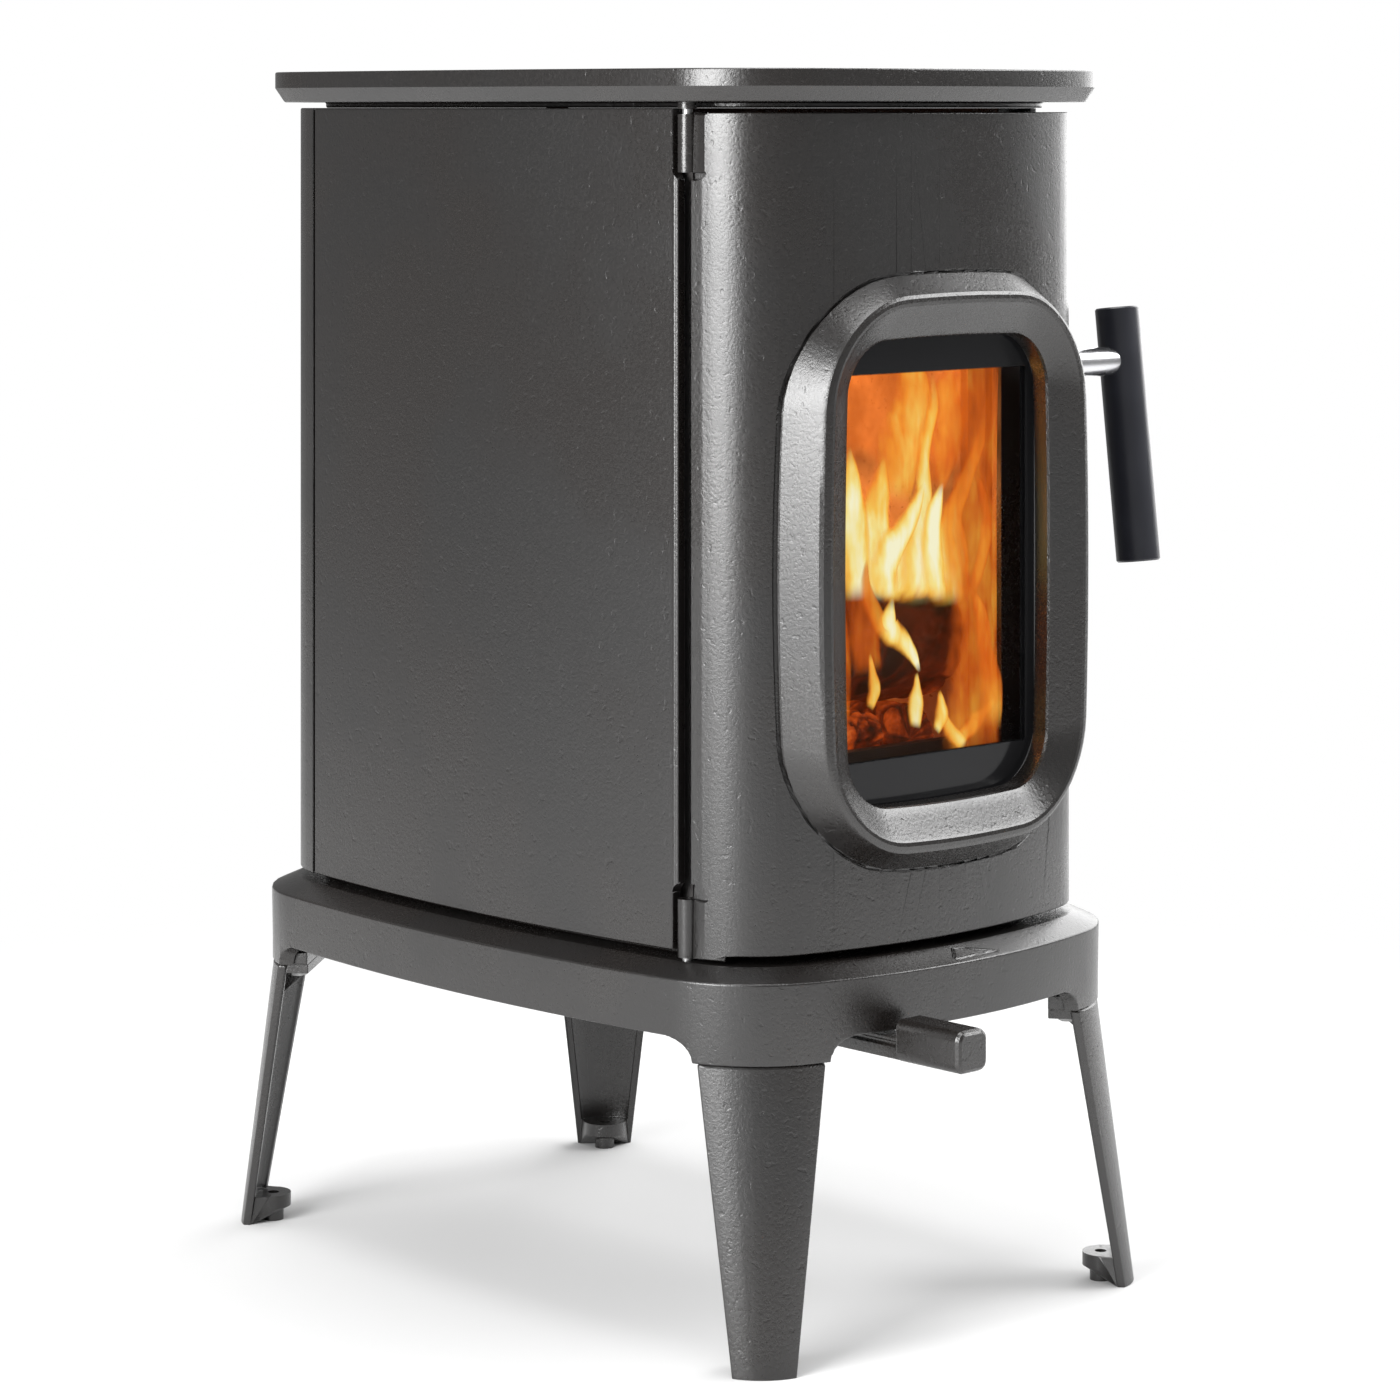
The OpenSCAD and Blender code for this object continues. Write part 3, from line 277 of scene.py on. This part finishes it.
def window_glass():
    finish = Finish("window_glass")
    x, _, z = finish.axes()
    across = finish.node("ShaderNodeMath", {"operation": "ABSOLUTE"}, {0: x})
    beside = across.step(CLEAR_HALF_WIDTH - SOFT, CLEAR_HALF_WIDTH + SOFT)
    above = z.step(CLEAR_HIGH - SOFT, CLEAR_HIGH + SOFT)
    below = 1 - z.step(CLEAR_LOW - SOFT, CLEAR_LOW + SOFT)
    border = (beside + above + below).clamp()
    haze = finish.noise(14, 4, 0.6).step(0.45, 0.9)
    return finish.surface(Base_Color=rgb(0.012, 0.012, 0.013), Roughness=0.06 + border * 0.05,
                          Specular_IOR_Level=0.3, Alpha=(0.05 + border + haze * 0.04).clamp())


glass = window_glass()
print("glass border: clear", 2 * CLEAR_HALF_WIDTH, "by", CLEAR_HIGH - CLEAR_LOW)

# %% [markdown]
# ## Soft edges on the castings
# A casting has no sharp edge anywhere: the mould's edges and the paint round them off by
# about a millimetre. The CAD meshes have knife edges, so each visible casting is copied and
# its loose triangles are joined. Plates cut from one outline are also merged back into flat
# faces. A Bevel modifier then rounds the edges that turn far enough. Edges that turn less
# stay crisp, facets of a bowed face run smooth, and weighted normals keep flat faces flat.

# %% Copy a casting and round its edges
JOINED, FLAT = 0.0001, math.radians(0.1)  # corners this near are one; faces this level are one
CRISP, ROUNDED = 16, 35                   # degrees that an edge turns before it is crisp, or rounded
BEVEL_SEGMENTS, FACE_WEIGHT = 2, 90


def softened(node, edge, merge_flat):
    mesh = nodes[node].data.copy()
    # The normals that came with the mesh would shade the new edges as the old ones
    for layer in [layer for layer in mesh.attributes if "normal" in layer.name]:
        mesh.attributes.remove(layer)
    shortest = 2.5 * edge
    work = bmesh.new()
    work.from_mesh(mesh)
    bmesh.ops.remove_doubles(work, verts=work.verts, dist=JOINED)
    if merge_flat:
        bmesh.ops.dissolve_limit(work, angle_limit=FLAT, verts=work.verts, edges=work.edges)
    weight = work.edges.layers.float.new("bevel_weight_edge")
    for line in work.edges:
        turn = math.degrees(line.calc_face_angle(0)) if line.is_manifold else 0
        rounded = turn > ROUNDED and line.calc_length() > shortest
        line[weight] = float(rounded)
        line.smooth = turn < CRISP or rounded
    for face in work.faces:
        face.smooth = True
    work.to_mesh(mesh)
    work.free()
    piece = bpy.data.objects.new(node + "_cast", mesh)
    scene.collection.objects.link(piece)
    bevel = piece.modifiers.new("edge", "BEVEL")
    bevel.width, bevel.segments, bevel.limit_method = edge, BEVEL_SEGMENTS, "WEIGHT"
    bevel.use_clamp_overlap = False
    weighted = piece.modifiers.new("normals", "WEIGHTED_NORMAL")
    weighted.keep_sharp, weighted.weight = True, FACE_WEIGHT
    return kept_in_box(applied(piece), nodes[node].data)


def kept_in_box(piece, original):
    """At a very slanted corner a bevel can reach out a little; nothing passes the casting's box."""
    for axis in range(3):
        places = [vertex.co[axis] for vertex in original.vertices]
        low, high = min(places), max(places)
        for vertex in piece.data.vertices:
            vertex.co[axis] = min(max(vertex.co[axis], low), high)
    return piece


def applied(piece):
    """The piece with its modifiers worked in, as one plain mesh."""
    graph = bpy.context.evaluated_depsgraph_get()
    mesh = bpy.data.meshes.new_from_object(piece.evaluated_get(graph), depsgraph=graph)
    piece.modifiers.clear()
    piece.data = mesh
    return piece


def paint(piece, material):
    piece.data.materials.clear()
    piece.data.materials.append(material)
    return piece


body_of = {name: thing["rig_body"] for name, thing in nodes.items()}

# Castings, each with the width of its rounded edges; the plates are also merged flat
PLATES = ["top_plate", "side_panel_left", "side_panel_right", "rear_panel", "door"]
CASTINGS = {"base": 0.0010, "flue_collar": 0.0008, "window_surround": 0.0006, "air_lever": 0.0008}
CASTINGS.update({node: 0.0010 for node in PLATES})
CASTINGS.update({node: 0.0006 for node in nodes if node.startswith("leg_") and node != "leg_bolts"})
for node, edge in CASTINGS.items():
    piece = paint(softened(node, edge, merge_flat=node in PLATES), painted_iron)
    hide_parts(node)
    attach(piece, body_of[node])
    print(piece.name, len(piece.data.polygons), "faces")

# %% Finish the pieces that stay as they are
FINISHES = {"cast_iron": painted_iron, "raw_iron": bare_iron, "steel": plain_steel,
            "bright_steel": bright_steel, "fire_brick": brick, "rope": rope, "glass": glass,
            "grip": black_grip}
slots = {part["node"]: part["material_slot"] for part in frame["record"]["subparts"]}
for node, thing in nodes.items():
    if node not in CASTINGS:
        paint(thing, FINISHES[slots[node]])
print("finished", len(nodes) - len(CASTINGS), "pieces as they are")

# %% [markdown]
# ## Logs
# Burning logs lose their bark and crack into small squares, and the cracks keep glowing
# after the outside has gone black. A log is a tube whose rings wander a little. A cell
# pattern from `mathutils.noise` pulls the skin in along the cracks, so that the squares
# stand out as real shape, and how deep a point lies is kept as an attribute for the glow.

# %% Charred and glowing wood
def charred_wood():
    finish = Finish("charred_wood")
    crack, glowing = finish.attribute("crack"), finish.attribute("glow")
    ash = finish.noise(70, 4, 0.65)
    fibres = finish.noise(240, 3, 0.6)
    colour = finish.mix(ash.step(0.48, 0.75) * 0.5, rgb(0.022, 0.013, 0.009), rgb(0.10, 0.07, 0.055))
    heat = glowing * (0.66 + (ash - 0.5) * 1.5) + crack * (0.32 - glowing * 0.85)
    heat = (heat + (fibres - 0.5) * 0.15 - 0.12).clamp()
    ember = finish.ramp(heat, [
        (0.0, (0.010, 0.002, 0.0)), (0.25, (0.10, 0.010, 0.001)), (0.5, (0.42, 0.055, 0.004)),
        (0.75, (0.85, 0.22, 0.03)), (1.0, (1.0, 0.62, 0.16))])
    return finish.surface(Base_Color=colour, Roughness=0.9, Emission_Color=ember, Emission_Strength=1.0,
                          Normal=finish.bump(fibres + ash, 0.6, 0.0008))


wood = charred_wood()
print("wood finish:", wood.name)


# %% A log with squares burnt into it
GRID = 0.0022         # side of a mesh face on a log
CRACK_DEPTH = 0.0022
CRACK_SHARE = 0.22    # of a square's width, from the crack's bottom to the flat
CLOSING_RINGS, CLOSING = 4, 0.24


def log(name, start, end, radius, glow, seed, squares=0.016):
    """A charred log; glow gives each point's heat, and squares is the width of the burnt squares."""
    along = Vector(end) - Vector(start)
    side = along.cross(Vector((0, 0, 1))).normalized()
    up = side.cross(along).normalized()
    rings, around = max(int(along.length / GRID), 8), int(2 * math.pi * radius / GRID)
    shift = Vector((seed, 2 * seed, 3 * seed))
    points, cracks = [], []
    for i in range(-CLOSING_RINGS, rings + CLOSING_RINGS + 1):
        part = min(max(i / rings, 0), 1)
        closing = 1 - CLOSING * min(max(-i, i - rings, 0), CLOSING_RINGS)
        centre = Vector(start) + along * part
        for j in range(around):
            turn = 2 * math.pi * j / around
            out = side * math.cos(turn) + up * math.sin(turn)
            lobes = noise.noise(out * 1.3 + shift) * 0.16
            lobes += noise.noise((centre + out * radius) * 22 + shift) * 0.08
            cell = Vector((part * along.length / squares, turn * radius / squares, seed))
            near = noise.voronoi(cell)[0]
            crack = 1 - min((near[1] - near[0]) / CRACK_SHARE, 1)
            points.append(centre + out * (radius * (1 + lobes) * closing - crack * CRACK_DEPTH))
            cracks.append(crack)
    faces = []
    bands = rings + 2 * CLOSING_RINGS
    for i in range(bands):
        for j in range(around):
            a, b = i * around + j, i * around + (j + 1) % around
            faces.append((a, b, b + around, a + around))
    last = bands * around
    faces += [tuple(reversed(range(around))), tuple(range(last, last + around))]
    mesh = bpy.data.meshes.new(name)
    mesh.from_pydata(points, [], faces)
    mesh.attributes.new("crack", "FLOAT", "POINT").data.foreach_set("value", cracks)
    mesh.attributes.new("glow", "FLOAT", "POINT").data.foreach_set("value", [glow(p) for p in points])
    work = bmesh.new()
    work.from_mesh(mesh)
    bmesh.ops.recalc_face_normals(work, faces=work.faces)
    work.to_mesh(mesh)
    work.free()
    mesh.shade_smooth()
    piece = bpy.data.objects.new(name, mesh)
    scene.collection.objects.link(piece)
    return paint(piece, wood)


def on_stove(piece):
    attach(piece, "stove")
    print(piece.name, len(piece.data.polygons), "faces")
    return piece


def ramp_up(value, low, high):
    return min(max((value - low) / (high - low), 0), 1)


def top_glow(p):
    """The top log is black, and glows at its right end and underneath."""
    return 0.12 + 0.50 * ramp_up(p.x, 0.04, 0.10) * ramp_up(0.40 - p.z, -0.01, 0.05)


for burning in (
        log("log_low_right", (0.078, -0.126, 0.321), (0.074, 0.06, 0.323), 0.021, lambda p: 0.70, seed=3),
        log("log_front_left", (-0.092, -0.113, 0.323), (0.050, -0.115, 0.325), 0.017, lambda p: 0.80, seed=5,
            squares=0.013),
        log("log_behind_left", (-0.100, -0.062, 0.331), (0.030, -0.068, 0.329), 0.025, lambda p: 0.45, seed=8),
        log("log_top", (0.012, -0.103, 0.384), (0.110, -0.100, 0.386), 0.041, top_glow, seed=11, squares=0.023)):
    on_stove(burning)

# %% [markdown]
# ## Embers
# The bed under the logs is a few hundred lumps of the same kind, so it is scattered with
# Geometry Nodes: points on a flat patch, one lump with a noisy skin on each, turned and
# sized at random from a fixed seed. Realize Instances makes it one plain mesh in the end.

# %% Scatter the embers
FULL_TURN = 6.283
BED_X, BED_FRONT, BED_BACK, BED_Z = 0.100, -0.118, 0.10, 0.306


def ember_tree():
    tree = bpy.data.node_groups.new("ember_bed", "GeometryNodeTree")
    sockets = [("Patch", "NodeSocketGeometry", None), ("Lumps per area", "NodeSocketFloat", 9000.0),
               ("Smallest", "NodeSocketFloat", 0.0045), ("Largest", "NodeSocketFloat", 0.0095),
               ("Seed", "NodeSocketInt", 4), ("Finish", "NodeSocketMaterial", None)]
    for name, kind, value in sockets:
        socket = tree.interface.new_socket(name, in_out="INPUT", socket_type=kind)
        if value is not None:
            socket.default_value = value
    tree.interface.new_socket("Embers", in_out="OUTPUT", socket_type="NodeSocketGeometry")

    def node(kind, settings=None, **links):
        made = tree.nodes.new(kind)
        for key, setting in (settings or {}).items():
            setattr(made, key, setting)
        for key, value in links.items():
            target = made.inputs[key.replace("_", " ")]
            if isinstance(value, bpy.types.NodeSocket):
                tree.links.new(value, target)
            else:
                target.default_value = value
        return made

    given = node("NodeGroupInput").outputs
    spots = node("GeometryNodeDistributePointsOnFaces", Mesh=given["Patch"], Density=given["Lumps per area"],
                 Seed=given["Seed"])
    lump = node("GeometryNodeMeshIcoSphere", Radius=1.0, Subdivisions=2)
    rough = node("ShaderNodeTexNoise", Scale=1.6, Detail=1.0)
    centred = node("ShaderNodeVectorMath", {"operation": "SUBTRACT"})
    tree.links.new(rough.outputs["Color"], centred.inputs[0])
    centred.inputs[1].default_value = (0.5, 0.5, 0.5)
    knobbly = node("GeometryNodeSetPosition", Geometry=lump.outputs["Mesh"], Offset=centred.outputs[0])
    turned = node("FunctionNodeRandomValue", {"data_type": "FLOAT_VECTOR"}, Seed=given["Seed"])
    turned.inputs[1].default_value = (FULL_TURN, FULL_TURN, FULL_TURN)
    sized = node("FunctionNodeRandomValue", {"data_type": "FLOAT"}, Seed=given["Seed"])
    tree.links.new(given["Smallest"], sized.inputs[2])
    tree.links.new(given["Largest"], sized.inputs[3])
    heap = node("GeometryNodeInstanceOnPoints", Points=spots.outputs["Points"], Instance=knobbly.outputs[0],
                Rotation=turned.outputs[0], Scale=sized.outputs[1])
    solid = node("GeometryNodeRealizeInstances", Geometry=heap.outputs[0])
    done = node("GeometryNodeSetMaterial", Geometry=solid.outputs[0], Material=given["Finish"])
    node("NodeGroupOutput", Embers=done.outputs[0])
    return tree


patch_mesh = bpy.data.meshes.new("ember_patch")
patch_mesh.from_pydata([(-BED_X, BED_FRONT, BED_Z), (BED_X, BED_FRONT, BED_Z), (BED_X, BED_BACK, BED_Z),
                        (-BED_X, BED_BACK, BED_Z)], [], [(0, 1, 2, 3)])
embers = bpy.data.objects.new("embers", patch_mesh)
scene.collection.objects.link(embers)
scatter = embers.modifiers.new("scatter", "NODES")
scatter.node_group = ember_tree()
ids = {item.name: item.identifier for item in scatter.node_group.interface.items_tree}
scatter[ids["Finish"]] = wood
applied(embers)
for name, value in (("crack", 0.2), ("glow", 0.9)):
    layer = embers.data.attributes.new(name, "FLOAT", "POINT")
    layer.data.foreach_set("value", [value] * len(embers.data.vertices))
on_stove(embers)

# %% [markdown]
# ## Flames
# A flame is a thin glowing skin, hottest at its foot and torn at its edges. Each tongue
# here is a ribbon that widens and narrows along a bent line and bulges a little. Its UV
# map says how far across and how far up a point lies, and a `burning` attribute how bright
# the tongue burns. The finish turns that into colour and into see-through edges.

# %% The flame finish
def flame_finish():
    finish = Finish("flame")
    across, up, _ = finish.axes(finish.node("ShaderNodeUVMap", {"uv_map": "tongue"}))
    heat = finish.attribute("burning")
    lick = finish.noise(46, 3, 0.6, finish.stretched((1, 1, 0.42)))
    streak = finish.noise(150, 2, 0.5, finish.stretched((1, 1, 0.22)))
    middle = 1 - (across * 2 - 1) * (across * 2 - 1)
    torn = (middle + (lick - 0.5) * 1.1 + (streak - 0.5) * 0.3).step(0.12, 0.80)
    hot = (heat * (0.40 + middle * 0.60) + (lick - 0.5) * 0.95 + (streak - 0.5) * 0.35 - up * 0.16).clamp()
    colour = finish.ramp(hot, [
        (0.0, (0.30, 0.028, 0.002)), (0.30, (0.80, 0.14, 0.010)), (0.52, (1.0, 0.36, 0.035)),
        (0.70, (1.0, 0.60, 0.10)), (0.85, (1.0, 0.83, 0.30)), (1.0, (1.0, 0.96, 0.66))])
    shown = torn * up.step(0.0, 0.14) * (1 - up.step(0.80, 1.0)) * (0.30 + heat * 0.75)
    return finish.surface(Base_Color=rgb(0, 0, 0), Roughness=1.0, Specular_IOR_Level=0.0,
                          Emission_Color=colour, Emission_Strength=1.0, Alpha=shown.clamp())


fire_glow = flame_finish()
print("flame finish:", fire_glow.name)

# %% Tongues of flame
# Each tongue is its heat, its depth, and its points from foot to tip: x, height and half
# width, all in mm. The last five are broad, and fill the fire behind the others.
TONGUES = [
    (0.95, -176, [(-19, 416, 10), (-19, 443, 12), (-20, 469, 12), (-21, 488, 8), (-23, 508, 1)]),
    (0.90, -170, [(7, 414, 14), (5, 441, 16), (4, 462, 13), (8, 480, 9), (12, 500, 1)]),
    (1.00, -186, [(-3, 418, 7), (-4, 434, 10), (5, 448, 9), (20, 464, 6), (30, 484, 1)]),
    (0.85, -180, [(31, 410, 12), (29, 439, 13), (31, 459, 10), (37, 477, 7), (37, 496, 5), (39, 512, 6),
                  (44, 529, 5), (42, 549, 1)]),
    (1.00, -192, [(34, 413, 7), (32, 437, 8), (32, 456, 7), (35, 470, 5), (39, 484, 1)]),
    (0.60, -172, [(71, 408, 10), (72, 437, 9), (70, 460, 7), (78, 478, 7), (87, 492, 5), (93, 505, 4),
                  (95, 518, 1)]),
    (0.55, -168, [(53, 475, 8), (64, 499, 13), (70, 517, 13), (67, 535, 10), (71, 552, 3)]),
    (0.42, -196, [(55, 412, 5), (70, 439, 5), (74, 457, 5), (70, 476, 4), (62, 490, 1)]),
    (1.00, -198, [(13, 374, 1), (8, 385, 4), (-2, 395, 7), (-11, 402, 8), (-11, 410, 5), (-9, 420, 1)]),
    (0.50, -196, [(-14, 399, 6), (-23, 414, 6), (-28, 429, 4), (-28, 444, 1)]),
    (0.80, -198, [(-29, 356, 3), (-23, 367, 5), (-24, 377, 3), (-28, 389, 1)]),
    (0.85, -196, [(11, 341, 4), (14, 355, 6), (15, 365, 3), (13, 374, 1)]),
    (0.90, -196, [(28, 337, 3), (35, 346, 6), (35, 353, 4), (32, 362, 1)]),
    (0.80, -190, [(59, 326, 4), (50, 334, 5), (44, 344, 3), (41, 352, 1)]),
    (0.50, -188, [(83, 332, 8), (85, 358, 9), (80, 379, 8), (78, 396, 7), (73, 410, 4), (66, 420, 1)]),
    (0.60, -184, [(57, 326, 3), (75, 336, 6), (86, 343, 3), (95, 351, 1)]),
    (0.35, -166, [(0, 371, 12), (-4, 399, 15), (-8, 420, 12), (-9, 440, 2)]),
    (0.75, -166, [(70, 406, 12), (68, 429, 14), (67, 448, 9), (73, 466, 5), (80, 479, 1)]),
    (0.98, -160, [(-62, 452, 20), (-30, 448, 22), (0, 440, 20), (34, 430, 17), (64, 424, 12), (84, 420, 5)]),
    (0.80, -164, [(-40, 440, 16), (-36, 470, 15), (-30, 494, 10), (-33, 516, 3)]),
    (0.62, -162, [(24, 470, 14), (32, 500, 17), (46, 528, 15), (44, 556, 9), (50, 578, 2)]),
    (0.48, -176, [(82, 312, 20), (80, 370, 21), (84, 440, 19), (82, 510, 20), (84, 590, 20)]),
    (0.52, -158, [(-30, 330, 20), (-28, 372, 22), (-30, 410, 20), (-36, 446, 14)])]


def smooth_path(points, steps):
    """Points on a smooth line through the given ones, evenly spread over their stretches."""
    ends = [points[0]] + points + [points[-1]]
    path = []
    for k in range(steps + 1):
        place = k / steps * (len(points) - 1)
        i = min(int(place), len(points) - 2)
        t = place - i
        a, b, c, d = (Vector(ends[i + n]) for n in range(4))
        path.append(0.5 * (2 * b + (c - a) * t + (2 * a - 5 * b + 4 * c - d) * t * t
                           + (3 * b - a - 3 * c + d) * t * t * t))
    return path


MILLIMETRE = 0.001


def flames(tongues, steps=30, columns=8, wider=1.3, bulging=0.35, waving=3):
    """One mesh of all tongues; a tongue bulges by a share of its half width and waves by some mm."""
    points, faces, uvs, heats = [], [], [], []
    for heat, depth, spine in tongues:
        path = smooth_path(spine, steps)
        first = len(points)
        for k, (x, z, width) in enumerate(path):
            half = width * wider
            before, after = path[max(k - 1, 0)], path[min(k + 1, steps)]
            way = Vector((after.x - before.x, after.y - before.y)).normalized()
            for c in range(columns + 1):
                across = 2 * c / columns - 1
                bulge = bulging * half * (1 - across * across) - waving * math.sin(3 * k / steps)
                spot = Vector((x + way.y * half * across, depth - bulge, z - way.x * half * across))
                points.append(spot * MILLIMETRE)
                uvs.append((c / columns, k / steps))
                heats.append(heat)
        for k in range(steps):
            for c in range(columns):
                a = first + k * (columns + 1) + c
                faces.append((a, a + 1, a + columns + 2, a + columns + 1))
    mesh = bpy.data.meshes.new("flames")
    mesh.from_pydata(points, [], faces)
    mesh.attributes.new("burning", "FLOAT", "POINT").data.foreach_set("value", heats)
    layer = mesh.uv_layers.new(name="tongue")
    for loop in mesh.loops:
        layer.data[loop.index].uv = uvs[loop.vertex_index]
    mesh.shade_smooth()
    piece = bpy.data.objects.new("flames", mesh)
    scene.collection.objects.link(piece)
    return paint(piece, fire_glow)


on_stove(flames(TONGUES))


# %% Light that the fire throws
fire = bpy.data.lights.new("fire_inside", "POINT")
fire.energy, fire.shadow_soft_size, fire.color = 0.9, 0.05, (1.0, 0.36, 0.09)
fire_lamp = bpy.data.objects.new("fire_inside", fire)
fire_lamp.location = (0.0, -0.03, 0.47)
scene.collection.objects.link(fire_lamp)
print("fire light of", round(fire.energy, 2), "W placed")

# %% [markdown]
# ## Studio
# The stove stands on a white floor that fades into a white surround. Near the stove the
# floor is a real surface, so that it keeps the soft shadow; further out it turns into pure
# white for the camera, so no edge or horizon shows. Reflections see a much darker room:
# dark glossy paint only looks dark when the room around it is, apart from its soft boxes.

# %% Floor and surround
FLOOR_HALF, FADE_START, FADE_END = 6.0, 0.45, 1.15


def seen_ray(finish):
    rays = finish.node("ShaderNodeLightPath").socket.node.outputs
    return (Value(finish, rays["Is Camera Ray"]) + Value(finish, rays["Is Transmission Ray"])).clamp()


def floor_finish():
    finish = Finish("studio_floor")
    x, y, _ = finish.axes()
    away = (x * x + y * y) ** 0.5
    white = finish.node("ShaderNodeEmission", {}, {"Color": rgb(1, 1, 1), "Strength": 1.0})
    matt = finish.node("ShaderNodeBsdfDiffuse", {}, {"Color": rgb(0.66, 0.66, 0.66)})
    fade = away.step(FADE_START, FADE_END) * seen_ray(finish)
    both = finish.node("ShaderNodeMixShader", {}, {0: fade, 1: matt, 2: white})
    finish.node("ShaderNodeOutputMaterial", {}, {"Surface": both})
    return finish.material


floor_mesh = bpy.data.meshes.new("studio_floor")
corners = [(sx * FLOOR_HALF, sy * FLOOR_HALF, 0) for sx, sy in ((-1, -1), (1, -1), (1, 1), (-1, 1))]
floor_mesh.from_pydata(corners, [], [(0, 1, 2, 3)])
floor = bpy.data.objects.new("studio_floor", floor_mesh)
scene.collection.objects.link(floor)
paint(floor, floor_finish())

scene.world = scene.world or bpy.data.worlds.new("studio")
surround = Finish("studio", scene.world)
seen = seen_ray(surround)
mirrored = surround.node("ShaderNodeLightPath", out="Is Glossy Ray")
level = 0.6 + seen * 0.4 - mirrored * 0.3
sky = surround.node("ShaderNodeBackground", {}, {"Color": rgb(1, 1, 1), "Strength": level})
surround.node("ShaderNodeOutputWorld", {}, {"Surface": sky})
print("studio floor fades to white from", FADE_START, "to", FADE_END, "m")


# %% [markdown]
# ## Lights and camera
# Four soft boxes light the stove. The left one draws the bright upright band on the door's
# corner, the high one at the front right fills the slopes that face up, the right one
# shines along the ledge and the grip from behind, and the one overhead throws the soft
# shadow between the legs. The camera is level and far away with a long lens, and its film
# is shifted down, which keeps every upright edge of the stove upright in the picture.

# %% Soft boxes
def soft_box(name, place, aim, size, watts):
    lamp = bpy.data.lights.new(name, "AREA")
    lamp.shape, lamp.size, lamp.size_y = "RECTANGLE", *size
    lamp.energy = watts
    box = bpy.data.objects.new(name, lamp)
    box.location = place
    box.rotation_euler = (Vector(aim) - Vector(place)).to_track_quat("-Z", "Y").to_euler()
    scene.collection.objects.link(box)


soft_box("left", (-2.3, -0.36, 1.15), (-0.1, -0.18, 0.5), (1.3, 1.7), 92)
soft_box("high_front", (1.5, -1.15, 1.7), (0, -0.2, 0.35), (1.2, 0.9), 27)
soft_box("right_back", (2.1, 0.45, 1.2), (0, -0.15, 0.4), (2.3, 1.8), 45)
soft_box("overhead", (0, -0.1, 2.5), (0, -0.1, 0), (1.5, 1.5), 38)
print("four soft boxes placed")

# %% Camera
PICTURE = 1400  # side of the square picture in pixels
FOCAL_PIXELS, HORIZON_PIXEL = 4330, 108.3
LOOK_X, LOOK_Y = 0.678, 0.735  # the way the level camera looks
lens = bpy.data.cameras.new("camera")
lens.sensor_width = 36
lens.lens = FOCAL_PIXELS / PICTURE * lens.sensor_width
lens.shift_y = (HORIZON_PIXEL - PICTURE / 2) / PICTURE
camera = bpy.data.objects.new("camera", lens)
camera.location = (-1.8064, -1.9801, 0.7053)
camera.rotation_euler = (math.pi / 2, 0, -math.atan2(LOOK_X, LOOK_Y))
scene.collection.objects.link(camera)
scene.camera = camera
scene.view_settings.view_transform = "Standard"
print("lens", round(lens.lens, 1), "mm, shift", round(lens.shift_y, 3))
